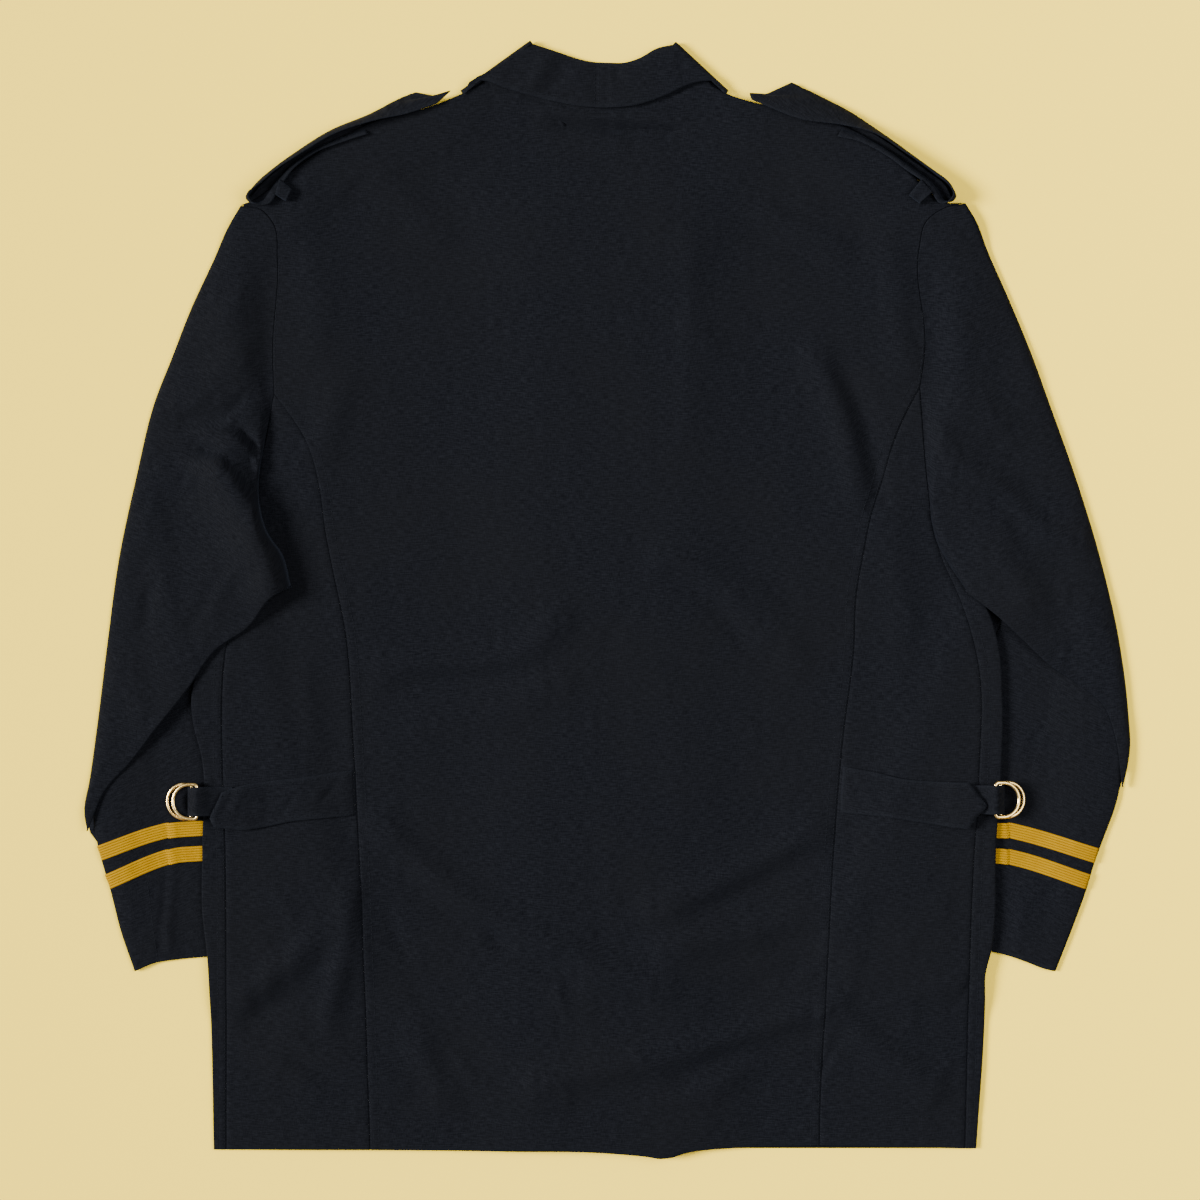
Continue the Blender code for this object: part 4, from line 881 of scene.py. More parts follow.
def ring_of_cloth(tops, feet, front_tops, front_feet, back_height, low, inset, lip):
    """Cloth that goes round the flattened neck: front, side turn, back, side turn, front."""
    rows = shares(22)
    halves, turns, back_edges = {}, {}, {}
    for side_name, side in SIDES.items():
        top, foot = np.array(tops[side_name], float), np.array(feet[side_name], float)
        line = along([tuple(top), tuple(foot)], rows)
        direction = (foot - top) / np.linalg.norm(foot - top)
        outward = np.array([side["sign"] * abs(direction[1]), abs(direction[0])])
        line = line - outward * inset
        high = back_height(line[:, 0], line[:, 1])
        radius = ((high - low) / 2)[:, None]
        base = line - outward * radius
        back_edges[side_name] = base
        turn = []
        for degrees in (15, 40, 65, 90, 115, 140, 165):
            a = math.radians(degrees)
            xy = base + outward * radius * math.sin(a)
            turn.append(at_height(xy, (high + low) / 2 + radius[:, 0] * math.cos(a)))
        turns[side_name] = turn
        columns = shares(14)
        foot_line = along([tuple(base[-1])] + list(front_feet[side_name]), columns)
        top_line = along([tuple(base[0])] + list(front_tops[side_name][1:]), columns)
        end = along([tuple(top_line[-1]), tuple(foot_line[-1])], rows)
        halves[side_name] = at_height(panel(top_line, foot_line, base, end), low)
    left, right = back_edges["left"], back_edges["right"]
    columns = shares(90)
    foot = along([tuple(left[-1])] + list(feet["back"]) + [tuple(right[-1])], columns)
    top = along([tuple(left[0])] + list(tops["back"]) + [tuple(right[0])], columns)
    back = lift_to(panel(top, foot, left, right), back_height)
    back[..., 2] -= lip * (1 - ease(np.linspace(0, 1, len(back)), 0, 0.2))[:, None] ** 2
    left_turn = [p[:, None] for p in turns["left"][::-1]]
    right_turn = [p[:, None] for p in turns["right"]]
    return np.concatenate([halves["left"][:, ::-1], *left_turn, back, *right_turn, halves["right"]], axis=1)


def stand_foot(neck):
    """The front neck seam as the stand's edge, ending short of the middle."""
    inward = [(x - math.copysign(SEAM, x), y + SEAM) for x, y in neck[1:]]
    return inward + [(math.copysign(6, neck[-1][0]), 325)]


def fall_height(x, y):
    """The collar's fall: its own soft creases, and the thickness of the turned seam at its edge."""
    return body_height(x, y) + 2.6 + folds(COLLAR_FOLDS, x, y)


def collar():
    """The fall, which shows behind the neck, and the stand under it."""
    fronts = COLLAR_FRONT
    fall = ring_of_cloth(
        dict({n: fronts[n]["side_top"] for n in fronts}, back=ROLL_BACK[1:-1]),
        dict({n: fronts[n]["side_foot"] for n in fronts}, back=FALL_EDGE[1:-1]),
        {n: fronts[n]["roll"] for n in fronts},
        {n: fronts[n]["edge"][1:] for n in fronts},
        fall_height,
        low=ON_FLOOR,
        inset=0.0,
        lip=1.6,
    )
    obj = cloth("twill_collar_fall", fall, edges=("top", "bottom"))
    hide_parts("collar_fall")
    below_roll = 2.0
    stand_side = {"left": ((-67, 454.5), (-101.5, 430)), "right": ((57.5, 453.5), (83.4, 429.6))}
    stand = ring_of_cloth(
        dict({n: stand_side[n][0] for n in fronts}, back=[(x, y - below_roll) for x, y in ROLL_BACK[1:-1]]),
        dict({n: stand_side[n][1] for n in fronts}, back=[(x, y + SEAM) for x, y in NECK_BACK[2:-2]]),
        {n: [(x * 0.98, y - 2) for x, y in fronts[n]["roll"]] for n in fronts},
        {n: stand_foot(fronts[n]["neck"]) for n in fronts},
        body_height,
        low=ON_FLOOR + PITCH,
        inset=2.4,
        lip=0.0,
    )
    obj = cloth("twill_collar_stand", stand)
    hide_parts("collar_stand")


# The shoulder straps

def strap_sections(side):
    """Each station's edge of the strap: silhouette, back edge of the free layer and of the layer under it."""
    table = np.array(side["epaulette"], float)
    return table[:, 0:2], table[:, 2:4], table[:, 4:6]


def strap_layer(outer, back_edge, inward, top, bottom, reach_under, under_radius, over):
    """Sections from the back edge over the shoulder's rounded edge to the part that lies under the front."""
    key = []
    for in_share, up_share in over:
        xy = outer + (back_edge - outer) * in_share
        key.append(at_height(xy, bottom + (top - bottom) * up_share))
    for along_in, up_share in ((0.0, 0.3), (under_radius * 0.35, 0.08)):
        xy = outer + inward * along_in
        key.append(at_height(xy, bottom + (top - bottom) * up_share))
    for along_in in (under_radius + 1.5, reach_under):
        xy = outer + inward * along_in
        key.append(at_height(xy, bottom))
    return np.stack(key, axis=1)


def smooth_sections(rows, steps, straight):
    """More places along each section of a strap: on smooth lines, and straight ones near its point."""
    smooth = np.stack([along(section, shares(steps)) for section in rows])
    for k, share in enumerate(straight):
        if share > 0:
            way = travelled(rows[k])
            plain = np.stack([np.interp(shares(steps), way, values) for values in rows[k].T], axis=-1)
            smooth[k] = smooth[k] * (1 - share) + plain * share
    return smooth


def epaulette(name, side):
    """A doubled strap: the free layer stands off, turns back at the armhole and is the lower layer too."""
    stations = shares(66)
    silhouette, free_edge, low_edge = (along(line, stations) for line in strap_sections(side))
    inward = unit(unit(free_edge - silhouette) * 0.3 + unit(low_edge - silhouette) * 0.7)
    body = body_height(low_edge[:, 0], low_edge[:, 1])
    free_top = body + 9.5 - 4.5 * ease(stations, 0.45, 1.0)
    low_top = body + PITCH + 1.4 + 1.6 * (1 - ease(stations, 0.2, 0.75))
    rounded = ((1.0, 1.0), (0.45, 0.83), (0.12, 0.56))
    close = ((1.0, 1.0), (0.76, 0.93), (0.48, 0.2))
    free = strap_layer(silhouette, free_edge, inward, free_top, ON_FLOOR, 18.0, 3.0, rounded)
    shoulder_edge = silhouette + inward * 4.2
    low = strap_layer(shoulder_edge, low_edge, inward, low_top, ON_FLOOR + PITCH, 14.0, 1.5, close)
    near_tip = ease(stations, 0.86, 1.0)[:, None]
    end_way = free[-1, 2, :2] - free[-7, 2, :2]
    for k, place in enumerate(side["epaulette_tip"], start=1):
        free[:, k, :2] += (np.array(place, float) - free[-1, k, :2]) * near_tip
    for k, share in ((4, -0.2), (5, -0.35), (6, -0.45)):
        free[:, k, :2] += end_way * share * near_tip
    turn = []
    toward_arm = unit((silhouette[0] - silhouette[4])[None])
    half, spread = (free[0] + low[0]) / 2, (free[0] - low[0]) / 2
    for degrees in (20, 45, 70, 90, 110, 135, 160):
        a = math.radians(degrees)
        row = half + spread * math.cos(a)
        bulge = np.linalg.norm(spread[:, :2], axis=1) * math.sin(a) * 0.8
        row[:, :2] += toward_arm * bulge[:, None]
        turn.append(row)
    kept_low = 45
    rows = np.concatenate([free[::-1], np.array(turn), low[:kept_low]])
    straight = np.concatenate([ease(stations, 0.85, 0.97)[::-1], np.zeros(len(turn) + kept_low)])
    grid = smooth_sections(rows, 30, straight)
    first_turn, last_turn = len(free) - 1, len(free) + len(turn) - 1
    obj = cloth(f"twill_shoulder_strap_{name}", grid, grain=-side["sign"] * 30.0, edges=("left", "top"),
                cells=lambda i, j: (j < 19) | (i < first_turn) | (i > last_turn))
    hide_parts(f"shoulder_strap_{name}")
    return low


def keeper(name, side, low):
    """A small loop of cloth over the strap's lower layer, beside the armhole, bent down at its two ends."""
    corners = np.array(side["keeper"], float)
    nearest = int(np.argmin(np.linalg.norm(low[:, 0, :2] - corners.mean(axis=0), axis=1)))
    top = low[nearest, 0, 2] + PITCH + 0.6
    outward = unit((corners[3] - corners[0])[None])[0]
    grid = []
    for share in np.linspace(-0.25, 1.25, 25):
        inside = min(max(share, 0), 1)
        start = corners[0] * (1 - inside) + corners[3] * inside
        stop = corners[1] * (1 - inside) + corners[2] * inside
        past = abs(share - inside) * 20
        level = top - 0.5 * abs(2 * inside - 1) ** 3 - past * 0.9
        out = outward * np.sign(share - 0.5) * past * 0.12
        grid.append([(*(start + (stop - start) * across + out), level) for across in shares(14)])
    obj = cloth(f"twill_strap_keeper_{name}", np.array(grid), edges=("left", "right"))
    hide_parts(f"strap_keeper_{name}")


# The waist straps, their ring tabs and the rings

def waist_strap(name, side):
    """A flat strap from the side-back seam, raised at its end where the ring tab comes out from under it."""
    columns = shares(44)
    rows = shares(20)
    upper = along(side["strap_top"], columns)
    lower = along(side["strap_bottom"], columns)
    grid = panel(upper, lower, along([upper[0], lower[0]], rows), along([upper[-1], lower[-1]], rows))
    drop = np.interp(rows, (0, 0.25, 0.5, 0.75, 1), side["strap_point"])
    share = np.clip((np.arange(len(columns)) - 40) / 4, 0, 1)
    middle_row = len(rows) // 2
    grid[..., 0] += (side["strap_tip"] - grid[middle_row, -1, 0]) * drop[:, None] * share[None]

    def height(x, y):
        """Low where it is sewn in, higher over the tab, with a crease across it near the tip."""
        from_tip = abs(side["strap_tip"]) - np.abs(x)
        over_tab = (2 * PITCH + 0.2) * (1 - ease(from_tip, 24, 46)) + 2.4 * (1 - ease(from_tip, 0, 14))
        crease = 0.9 * ridge(from_tip - 13, 4) + folds(STRAP_FOLDS, x, y)
        sewn_in = ease(np.abs(x) - np.abs(upper[0, 0]), -4, 9)
        return body_height(x, y) - 0.2 + (PITCH + 1.1) * sewn_in + over_tab + crease * sewn_in

    obj = cloth(f"twill_waist_strap_{name}", lift_to(grid, height), edges=("top", "bottom", "left", "right"))
    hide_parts(f"waist_strap_{name}")


def ring_tab(name, side):
    """A band of cloth that goes round both rings' bars and back on itself."""
    sign = side["sign"]
    (low_x, low_z), (high_x, high_z) = side["ring_bars"]
    y = RING_Y[name]
    clear = RING_WIRE + GAP + CLOTH / 2 + 0.15
    on_body = float(body_height(low_x - sign * 26, y)) + 0.15
    tip = abs(side["strap_tip"])
    root = tip - 18
    over_edge = min(abs(side["body_edge"][7][0]) - 1.5, abs(low_x) - 6)
    path = [(root, on_body + PITCH), (over_edge, on_body + PITCH), (abs(low_x) - 1.5, low_z - clear)]
    round_low, round_high = (-75, -30, 10, 48), (48, 85, 120)
    for bar_x, bar_z, turn in ((abs(low_x), low_z, round_low), (abs(high_x), high_z, round_high)):
        for degrees in turn:
            a = math.radians(degrees)
            path.append((bar_x + (clear + 0.1) * math.cos(a), bar_z + (clear + 0.1) * math.sin(a)))
    on_top = on_body + 2 * PITCH + 0.1
    path += [(tip, on_top + 2.2), (tip - 7, on_top + 0.6), (tip - 13, on_top), (root, on_top)]
    path = along(path, shares(70))
    grid = []
    for half in np.linspace(-0.5, 0.5, 21):
        grid.append([(sign * x, y + half * TAB_WIDTH, z) for x, z in path])
    obj = cloth(f"twill_ring_tab_{name}", np.array(grid), edges=("top", "bottom"))
    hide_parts(f"ring_tab_{name}")


def d_ring_points(arc=40, corner_steps=8):
    """The ring's closed line round the D, in its own plane: the bar lies on Y, the round end at +X."""
    line = []
    straight = RING_DEPTH - RING_HALF
    for a in np.radians(np.linspace(-90, 90, arc + 1)):
        line.append((straight + RING_HALF * math.cos(a), RING_HALF * math.sin(a)))
    corner = []
    for a in np.radians(np.linspace(0, 90, corner_steps + 1)):
        corner.append((RING_CORNER * (1 - math.sin(a)), RING_HALF - RING_CORNER * (1 - math.cos(a))))
    return line + corner + [(x, -y) for x, y in corner[::-1]]


def d_ring(name, level, side):
    """A brass D-ring hinged on its bar, lying out over the sleeve."""
    sign = side["sign"]
    bar_x, bar_z = side["ring_bars"][0 if level == "lower" else 1]
    tilt = math.radians(side["ring_tilt"][0 if level == "lower" else 1])
    line = np.array([(bar_x + sign * x * math.cos(tilt), RING_Y[name] + y, bar_z - x * math.sin(tilt))
                     for x, y in d_ring_points()])
    ways = unit(np.roll(line, -1, axis=0) - np.roll(line, 1, axis=0))
    flat = np.array([math.sin(tilt) * sign, 0, math.cos(tilt)])
    sides = np.cross(ways, flat)
    around = 20
    points, faces = [], []
    for k, (middle, side_way) in enumerate(zip(line, sides)):
        for a in np.linspace(0, 2 * math.pi, around, endpoint=False):
            points.append((middle + RING_WIRE * (math.cos(a) * side_way + math.sin(a) * flat)) * MM)
        for n in range(around):
            this, after, beside_it = k * around, (k + 1) % len(line) * around, (n + 1) % around
            faces.append((this + n, this + beside_it, after + beside_it, after + n))
    mesh = bpy.data.meshes.new(f"brass_ring_{level}_{name}")
    mesh.from_pydata(points, [], faces)
    wire = bmesh.new()
    wire.from_mesh(mesh)
    bmesh.ops.recalc_face_normals(wire, faces=wire.faces)
    wire.to_mesh(mesh)
    wire.free()
    obj = bpy.data.objects.new(mesh.name, mesh)
    keep(obj, brass, body=f"ring_{level}_{name}", smooth=60)
    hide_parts(f"d_ring_{level}_{name}")


# Node trees

class Signal:
    """A socket whose sums and products become Math nodes."""

    def __init__(self, owner, socket):
        self.owner = owner
        self.socket = socket

    def _math(self, operation, *values, clamp=False):
        node = self.owner.node("ShaderNodeMath", dict(operation=operation, use_clamp=clamp), *values)
        return Signal(self.owner, node.outputs[0])

    def __add__(self, other):
        return self._math("ADD", self, other)

    __radd__ = __add__

    def __mul__(self, other):
        return self._math("MULTIPLY", self, other)

    __rmul__ = __mul__

    def __sub__(self, other):
        return self._math("SUBTRACT", self, other)

    def __rsub__(self, other):
        return self._math("SUBTRACT", other, self)

    def __pow__(self, other):
        return self._math("POWER", self, other)

    def clamped(self):
        return self._math("ADD", self, 0.0, clamp=True)

    def wave(self):
        return self._math("SINE", self)

    def size(self):
        return self._math("ABSOLUTE", self)


class Tree:
    """A node tree under construction."""

    def node(self, kind, settings, *values, **named):
        """A new node: first its settings, then the values or links of its sockets, in order or by name."""
        new = self.tree.nodes.new(kind)
        for key, value in settings.items():
            setattr(new, key, value)
        for place, value in enumerate(values):
            self.join(value, new.inputs[place])
        for key, value in named.items():
            self.join(value, new.inputs[key.replace("_", " ")])
        return new

    def join(self, value, socket):
        """A link where the value is a socket, or else the socket's own value."""
        if isinstance(value, Signal):
            self.tree.links.new(value.socket, socket)
        else:
            socket.default_value = value

    def signal(self, node, output=0):
        return Signal(self, node.outputs[output])

    def made(self, kind, settings, *values, **named):
        """The first output of a new node."""
        return self.signal(self.node(kind, settings, *values, **named))


# What is sewn on: stitches and lace by Geometry Nodes

class Nodes(Tree):
    """A Geometry Nodes tree with named inputs."""

    def __init__(self, name, **inputs):
        self.tree = bpy.data.node_groups.new(name, "GeometryNodeTree")
        self.tree.interface.new_socket("Geometry", in_out="INPUT", socket_type="NodeSocketGeometry")
        self.tree.interface.new_socket("Geometry", in_out="OUTPUT", socket_type="NodeSocketGeometry")
        self.ids = {}
        for key, value in inputs.items():
            kind = "NodeSocketInt" if isinstance(value, int) else "NodeSocketFloat"
            if isinstance(value, bpy.types.Material):
                kind = "NodeSocketMaterial"
            socket = self.tree.interface.new_socket(key, in_out="INPUT", socket_type=kind)
            socket.default_value = value
            self.ids[key] = socket.identifier
        self.values = inputs
        start = self.tree.nodes.new("NodeGroupInput")
        self.given = {key: self.signal(start, key) for key in ("Geometry", *inputs)}
        self.end = self.tree.nodes.new("NodeGroupOutput")

    def finish(self, geometry):
        self.join(geometry, self.end.inputs[0])

    def made_from(self, name, points, edges):
        """The tree run on a mesh of lines, as a plain mesh."""
        lines = bpy.data.meshes.new(name + "_lines")
        lines.from_pydata(points, edges, [])
        temporary = bpy.data.objects.new(name + "_lines", lines)
        bpy.context.scene.collection.objects.link(temporary)
        modifier = temporary.modifiers.new("made", "NODES")
        modifier.node_group = self.tree
        for key, value in self.values.items():
            modifier[self.ids[key]] = value
        graph = bpy.context.evaluated_depsgraph_get()
        mesh = bpy.data.meshes.new_from_object(temporary.evaluated_get(graph), depsgraph=graph)
        mesh.name = name
        temporary.modifiers.remove(modifier)
        bpy.data.objects.remove(temporary)
        return bpy.data.objects.new(name, mesh)


def stitch_tree():
    """Long beads at even spaces along each line."""
    pitch = STITCH + STITCH_GAP
    tree = Nodes("stitches", Length=STITCH * MM, Pitch=pitch * MM, Thread=THREAD * MM, Finish=thread)
    made, given = tree.made, tree.given
    curve = made("GeometryNodeMeshToCurve", {}, Mesh=given["Geometry"])
    even = made("GeometryNodeResampleCurve", dict(mode="LENGTH"), Curve=curve, Length=given["Pitch"])
    bead = made("GeometryNodeMeshIcoSphere", {}, Radius=0.5, Subdivisions=2)
    size = made("ShaderNodeCombineXYZ", {}, given["Length"], given["Thread"], given["Thread"])
    shaped = made("GeometryNodeTransform", {}, Geometry=bead, Scale=size)
    way = made("GeometryNodeInputTangent", {})
    turn = made("FunctionNodeAlignRotationToVector", dict(axis="X"), Vector=way)
    laid = made("GeometryNodeInstanceOnPoints", {}, Points=even, Instance=shaped, Rotation=turn)
    real = made("GeometryNodeRealizeInstances", {}, Geometry=laid)
    tree.finish(made("GeometryNodeSetMaterial", {}, Geometry=real, Material=given["Finish"]))
    return tree


def lace_tree():
    """A ribbon with rounded cords side by side, along each line."""
    tree = Nodes("lace", Width=LACE_WIDTH * MM, Rise=LACE_RISE * MM, Cords=LACE_CORDS, Finish=gold)
    made, given = tree.made, tree.given
    curve = made("GeometryNodeMeshToCurve", {}, Mesh=given["Geometry"])
    level = made("GeometryNodeSetCurveNormal", dict(mode="Z_UP"), Curve=curve)
    half = given["Width"] * 0.5
    left = made("ShaderNodeCombineXYZ", {}, X=0 - half)
    right = made("ShaderNodeCombineXYZ", {}, X=half)
    line = made("GeometryNodeCurvePrimitiveLine", {}, Start=left, End=right)
    places = given["Cords"] * 10.0 + 1.0
    line = made("GeometryNodeResampleCurve", dict(mode="COUNT"), Curve=line, Count=places)
    factor = tree.signal(tree.node("GeometryNodeSplineParameter", {}), "Factor")
    bow = (factor * given["Cords"] * math.pi).wave().size() ** 0.6
    offset = made("ShaderNodeCombineXYZ", {}, Y=0 - bow * given["Rise"])
    profile = made("GeometryNodeSetPosition", {}, Geometry=line, Offset=offset)
    held = []
    for geometry, value in ((level, "Length"), (profile, "Factor")):
        capture = tree.node("GeometryNodeCaptureAttribute", {})
        capture.capture_items.new("FLOAT", value)
        tree.join(geometry, capture.inputs[0])
        tree.join(tree.signal(tree.node("GeometryNodeSplineParameter", {}), value), capture.inputs[1])
        held.append([tree.signal(capture, 0), tree.signal(capture, 1)])
    (path, length), (section, across) = held
    ribbon = made("GeometryNodeCurveToMesh", {}, Curve=path, Profile_Curve=section)
    weave = made("ShaderNodeCombineXYZ", {}, X=length, Y=across * given["Width"])
    mapped = made("GeometryNodeStoreNamedAttribute", dict(data_type="FLOAT2", domain="CORNER"),
                  Geometry=ribbon, Name="weave", Value=weave)
    tree.finish(made("GeometryNodeSetMaterial", {}, Geometry=mapped, Material=given["Finish"]))
    return tree


def surfaces(names):
    """The pieces' outer faces, for laying things on them."""
    graph = bpy.context.evaluated_depsgraph_get()
    return [BVHTree.FromObject(pieces[name], graph) for name in names]


def laid_on(trees, x, y, lift):
    """The highest place of the given pieces at a spot, lifted, or None beside them all."""
    best = None
    for tree in trees:
        hit = tree.ray_cast(Vector((x * MM, y * MM, 0.2)), Vector((0, 0, -1)))[0]
        if hit is not None and (best is None or hit.z > best):
            best = hit.z
    return None if best is None else (x * MM, y * MM, best + lift * MM)


def laid_line(trees, line, lift, step=1.5):
    """A line of places along (x, y) points, laid on the pieces and broken where there are none."""
    line = np.asarray(line, float)
    length = np.linalg.norm(np.diff(line, axis=0), axis=1).sum()
    smooth = along(line, shares(max(2, int(length / step))))
    runs, run = [], []
    for x, y in smooth:
        spot = laid_on(trees, x, y, lift)
        if spot is None:
            if len(run) > 2:
                runs.append(run)
            run = []
        else:
            run.append(spot)
    if len(run) > 2:
        runs.append(run)
    return runs


def sewn(name, rows):
    """Rows of stitches as one piece. rows holds the pieces' names and the (x, y) points of each row."""
    points, edges = [], []
    for on, line in rows:
        for run in laid_line(surfaces(on), line, THREAD * 0.12):
            first = len(points)
            points += run
            edges += [(first + k, first + k + 1) for k in range(len(run) - 1)]
    obj = stitch_tree().made_from(name, points, edges)
    keep(obj, thread, smooth=80)


def offset_line(points, distance, steps=40):
    """A smooth line beside another."""
    return beside(along(points, shares(steps)), distance)


def body_stitches():
    """Seams stitched down on both sides, the hem, the armholes, the label's place and the collar."""
    back, fall = ["twill_back_centre"], ["twill_collar_fall"]
    rows = []
    for name, side in SIDES.items():
        sign = side["sign"]
        side_back, front = f"twill_side_back_{name}", f"twill_front_{name}"
        sleeve_top, strap = [f"twill_sleeve_top_{name}"], [f"twill_waist_strap_{name}"]
        for away in (1.6, SIDE_ROW):
            rows.append(([side_back, *back], offset_line(side["side_seam"], -sign * away)))
        for away in (1.6, WRAP_ROW):
            rows.append(([front], offset_line(side["wrap_seam"], sign * away)[2:]))
        rows.append((back, offset_line(side["armhole"][3:], -sign * 1.8)))
        rows.append(([side_back, front], moved([p for p in HEM_LINE if sign * p[0] > 160], HEM)))
        rows.append((sleeve_top, moved(side["cuff_hem"], 21)))
        rows.append((sleeve_top, offset_line(side["forearm_seam"], 2.0)))
        top, bottom = moved(side["strap_top"], -STRAP_MARGIN), moved(side["strap_bottom"], STRAP_MARGIN)
        tip = side["strap_tip"] - sign * 3.5
        point = [(tip, top[-1][1] - 12 + STRAP_MARGIN), (tip, bottom[-1][1] + 11 - STRAP_MARGIN)]
        rows += [(strap, top), (strap, bottom), (strap, [top[-1], *point, bottom[-1]])]
        outline, edge, _ = strap_sections(side)
        rows.append(([f"twill_shoulder_strap_{name}"], (edge * 0.82 + outline * 0.18)[1:]))
    rows.append((back, moved([p for p in HEM_LINE if -200 < p[0] < 175], HEM)))
    for drop in (3.0, 9.5):
        rows.append((back, moved(NECK_BACK[3:-3], -drop)))
    for corners in LABEL_ROWS:
        rows += [(back, pair) for pair in zip(corners, corners[1:])]
    rows.append((fall, moved(FALL_EDGE[1:-1], 4.0)))
    for x in (-11.5, -8.0):
        rows.append((fall, [(x, 438), (x, 406)]))
    sewn("stitches", rows)


def cuff_lace(name, side):
    """Two rows of gold lace round the cuff, laid on the sleeve and running on under the body."""
    for number, line in enumerate(side["braid"], start=1):
        runs = laid_line(surfaces([f"twill_sleeve_top_{name}"]), line, 0.35, step=1.2)
        points = []
        for x, y, z in (spot for run in runs for spot in run):
            over = ease(side["sign"] * (side["vent"] - x / MM), 0, VENT_LENGTH) * MM
            points.append((x, y - VENT_SHIFT * over, z + VENT_STEP * over))
        edges = [(k, k + 1) for k in range(len(points) - 1)]
        obj = lace_tree().made_from(f"lace_{name}_{number}", points, edges)
        wall = obj.modifiers.new("wall", "SOLIDIFY")
        wall.thickness = 0.35 * MM
        wall.offset = 0
        keep(obj, gold, smooth=70)
        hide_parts(f"cuff_braid_{name}_{number}")


# Finishes

class Finish(Tree):
    """A material under construction."""

    def __init__(self, name):
        self.material = bpy.data.materials.new(name)
        self.material.use_nodes = True
        self.tree = self.material.node_tree
        self.shader = self.tree.nodes["Principled BSDF"]

    def set(self, **values):
        for key, value in values.items():
            self.join(value, self.shader.inputs[key.replace("_", " ")])

    def place(self, source="object"):
        """The object's own coordinates, or one of its maps."""
        if source == "object":
            return self.signal(self.node("ShaderNodeTexCoord", {}), "Object")
        return self.made("ShaderNodeUVMap", dict(uv_map=source))

    def split(self, place):
        """The first two coordinates of a place."""
        parts = self.node("ShaderNodeSeparateXYZ", {}, place)
        return self.signal(parts, 0), self.signal(parts, 1)

    def stretched(self, place, scale):
        """The place scaled by its own amount along each axis."""
        return self.made("ShaderNodeMapping", dict(vector_type="POINT"), place, Scale=scale)

    def noise(self, place, scale, detail=2.0, roughness=0.5):
        """Soft noise from 0 to 1 with features of about one over the scale."""
        values = dict(Vector=place, Scale=scale, Detail=detail, Roughness=roughness)
        return self.made("ShaderNodeTexNoise", {}, **values)

    def level(self, value, low, high, start=0.0, stop=1.0):
        """The value's way from low to high as one from start to stop, eased at both ends."""
        settings = dict(interpolation_type="SMOOTHSTEP")
        return self.made("ShaderNodeMapRange", settings, value, low, high, start, stop)

    def blend(self, share, first, second):
        """From the first colour to the second as the share goes from 0 to 1."""
        node = self.node("ShaderNodeMix", dict(data_type="RGBA", blend_type="MIX", clamp_result=False))
        self.join(share, node.inputs[0])
        for value, key in ((first, 6), (second, 7)):
            self.join(value if isinstance(value, Signal) else (*value, 1.0), node.inputs[key])
        return self.signal(node, 2)

    def relief(self, height, distance, strength):
        """The normal of a surface with the given height over it."""
        return self.made("ShaderNodeBump", {}, Height=height, Distance=distance, Strength=strength)


def twill():
    """Wool-like navy twill: fine slanted ribs, crosswise slubs, a soft heather and paler edges, partly wear
    and partly a painted sheen.
    """
    f = Finish("navy twill")
    weave = f.place("weave")
    u, v = f.split(weave)
    drift = f.noise(f.stretched(weave, (1, 1, 1)), 120.0, 2.0)
    rib = ((u * 0.55 + v) * (2 * math.pi / TWILL_PITCH) + drift * 2.2).wave()
    slub = f.noise(f.stretched(weave, (150, 1100, 1)), 1.0, 3.0, 0.6)
    warp = f.noise(f.stretched(weave, (1700, 220, 1)), 1.0, 2.0, 0.6)
    cloud = f.noise(weave, 9.0, 3.0)
    fuzz = f.noise(weave, 900.0, 2.0)
    rim = f.signal(f.node("ShaderNodeAttribute", dict(attribute_name="rim")), "Fac")
    lightness = f.level(slub * 0.6 + warp * 0.4, 0.32, 0.72)
    color = f.blend(lightness, NAVY_LOW, NAVY_HIGH)
    color = f.blend(f.level(cloud, 0.35, 0.7) * 0.35, color, NAVY_WARM)
    # Paler turned edges: wear, plus a painted sheen where light would catch them
    color = f.blend((rim * f.level(fuzz, 0.3, 0.6) * 0.55).clamped(), color, NAVY_WORN_AND_SHEEN)
    height = slub * 0.3 + warp * 0.25 + rib * 0.16 + fuzz * 0.2
    worn = f.noise(f.stretched(weave, (26, 60, 1)), 1.0, 5.0, 0.62)
    height = height + worn * CRUMPLE_SHARE
    f.set(Base_Color=color, Roughness=f.level(lightness, 0, 1, 0.94, 0.8), Specular_IOR_Level=0.05,
          Normal=f.relief(height, 0.00035, 0.5))
    f.set(Sheen_Weight=TWILL_SHEEN, Sheen_Roughness=0.45, Sheen_Tint=SHEEN_TINT)
    return f.material


def lace():
    """Gold lace: metal thread wound round the lengthwise cords, with darker furrows and slight tarnish."""
    f = Finish("gold lace")
    weave = f.place("weave")
    u, v = f.split(weave)
    wound = ((u + v * 0.35) * (2 * math.pi / WINDING_PITCH)).wave()
    furrow = (v * (2 * math.pi / FURROW_PITCH)).wave()
    tarnish = f.noise(f.place(), 60.0, 3.0)
    color = f.blend(f.level(wound, -1, 1), LACE_DEEP, LACE_BRIGHT)
    color = f.blend(f.level(tarnish, 0.4, 0.75) * 0.35, color, LACE_DULL)
    f.set(Base_Color=color, Roughness=f.level(wound, -1, 1, 0.6, 0.45), Metallic=0.0, Specular_IOR_Level=0.04,
          Normal=f.relief(wound * 0.5 + furrow * 0.1, 0.0002, 0.6))
    return f.material


def brass_finish():
    """Bright pale brass, lightly rubbed."""
    f = Finish("brass")
    spot = f.noise(f.place(), 900.0, 3.0)
    haze = f.noise(f.place(), 90.0, 2.0)
    color = f.blend(f.level(haze, 0.35, 0.7), BRASS_PALE, BRASS_DEEP)
    f.set(Base_Color=color, Metallic=1.0, Roughness=f.level(spot, 0.3, 0.75, 0.16, 0.34),
          Normal=f.relief(spot, 0.00005, 0.3))
    return f.material


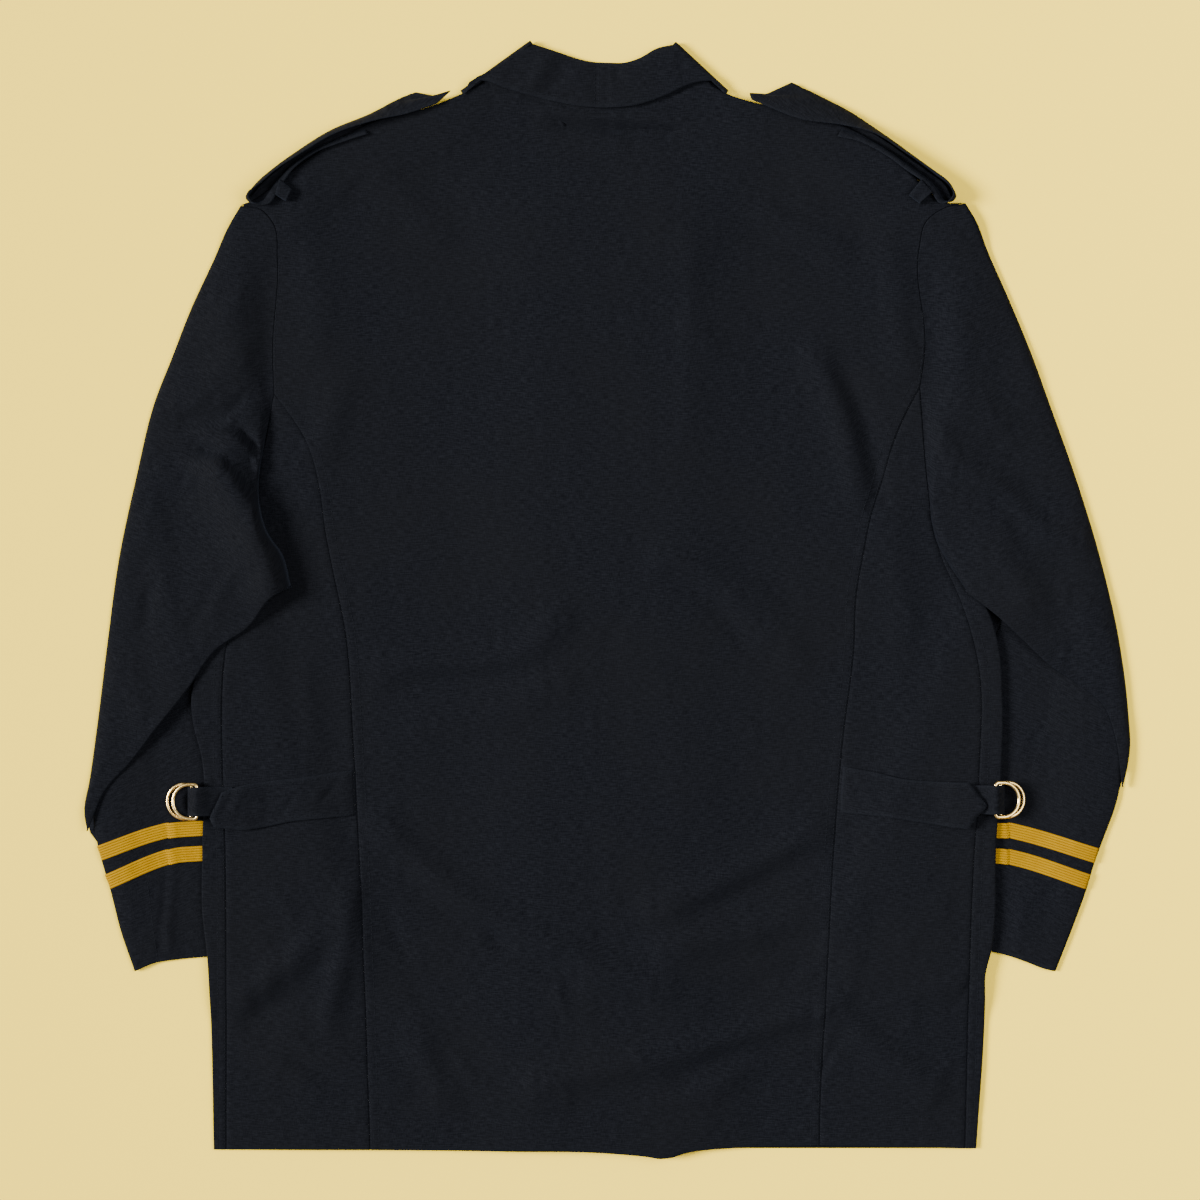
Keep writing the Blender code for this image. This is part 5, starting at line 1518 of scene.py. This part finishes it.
def horn_finish():
    """Black buttons, with slightly paler worn patches spread at random."""
    f = Finish("black horn")
    cloud = f.noise(f.place(), 160.0, 3.0)
    f.set(Base_Color=f.blend(f.level(cloud, 0.3, 0.7), HORN_BLACK, HORN_WORN),
          Roughness=f.level(cloud, 0.3, 0.7, 0.3, 0.45))
    return f.material


def thread_finish():
    """Navy sewing thread, a little glossier and paler than the cloth."""
    f = Finish("navy thread")
    twist = f.noise(f.place(), 1500.0, 1.0)
    f.set(Base_Color=f.blend(f.level(twist, 0.3, 0.7), THREAD_LOW, THREAD_HIGH),
          Roughness=f.level(twist, 0.3, 0.7, 0.6, 0.8), Specular_IOR_Level=0.08)
    return f.material


def paper():
    """The plain pale surface that the jacket lies on."""
    f = Finish("pale surface")
    grain = f.noise(f.place(), 700.0, 2.0)
    f.set(Base_Color=FLOOR_COLOR, Roughness=0.9, Normal=f.relief(grain, 0.0001, 0.08))
    return f.material


# What lies round the jacket

def surface():
    """A large plain sheet just under the cloth."""
    mesh = bpy.data.meshes.new("pale_surface")
    corners = [(x * FLOOR_HALF, y * FLOOR_HALF, -FLOOR_DROP) for x, y in ((-1, -1), (1, -1), (1, 1), (-1, 1))]
    mesh.from_pydata(corners, [], [(0, 1, 2, 3)])
    obj = bpy.data.objects.new("pale_surface", mesh)
    mesh.materials.append(paper())
    bpy.context.scene.collection.objects.link(obj)


def lamp(name, kind, energy, place, size):
    """A light aimed at the jacket. A sun's size is in degrees, and an area's in metres."""
    light = bpy.data.lights.new(name, kind)
    light.energy = energy
    if kind == "SUN":
        light.angle = math.radians(size)
    else:
        light.shape = "DISK"
        light.size = size
    obj = bpy.data.objects.new(name, light)
    obj.location = place
    obj.rotation_euler = (-Vector(place)).to_track_quat("-Z", "Y").to_euler()
    bpy.context.scene.collection.objects.link(obj)


def camera():
    """Straight above, as the jacket was photographed."""
    view = bpy.data.cameras.new("camera")
    view.sensor_width = 36
    view.lens = 36 * CAMERA_HEIGHT / CAMERA_FRAME
    obj = bpy.data.objects.new("camera", view)
    obj.location = (CAMERA_X, CAMERA_Y, CAMERA_HEIGHT)
    bpy.context.scene.collection.objects.link(obj)
    bpy.context.scene.camera = obj


def light_and_view():
    """A soft room with one broad key from the left and a wide fill from the right."""
    world = bpy.data.worlds.new("soft room")
    world.use_nodes = True
    room = world.node_tree.nodes["Background"].inputs
    room["Color"].default_value = ROOM_COLOR
    room["Strength"].default_value = WORLD_STRENGTH
    bpy.context.scene.world = world
    lamp("key", "SUN", KEY_STRENGTH, KEY_PLACE, KEY_WIDTH)
    lamp("fill", "AREA", FILL_POWER, FILL_PLACE, FILL_WIDTH)
    surface()
    camera()


pieces = {}
navy = twill()
gold = lace()
brass = brass_finish()
horn = horn_finish()
thread = thread_finish()

back_centre()
collar()
for side_name, shape in SIDES.items():
    side_back(side_name, shape)
    front(side_name, shape)
    sleeve(side_name, shape)
    keeper(side_name, shape, epaulette(side_name, shape))
    waist_strap(side_name, shape)
    ring_tab(side_name, shape)
    d_ring(side_name, "lower", shape)
    d_ring(side_name, "upper", shape)
for name, obj in frame["nodes"].items():
    if name.startswith("button"):
        obj.data.materials[0] = horn
body_stitches()
for side_name, shape in SIDES.items():
    cuff_lace(side_name, shape)
light_and_view()
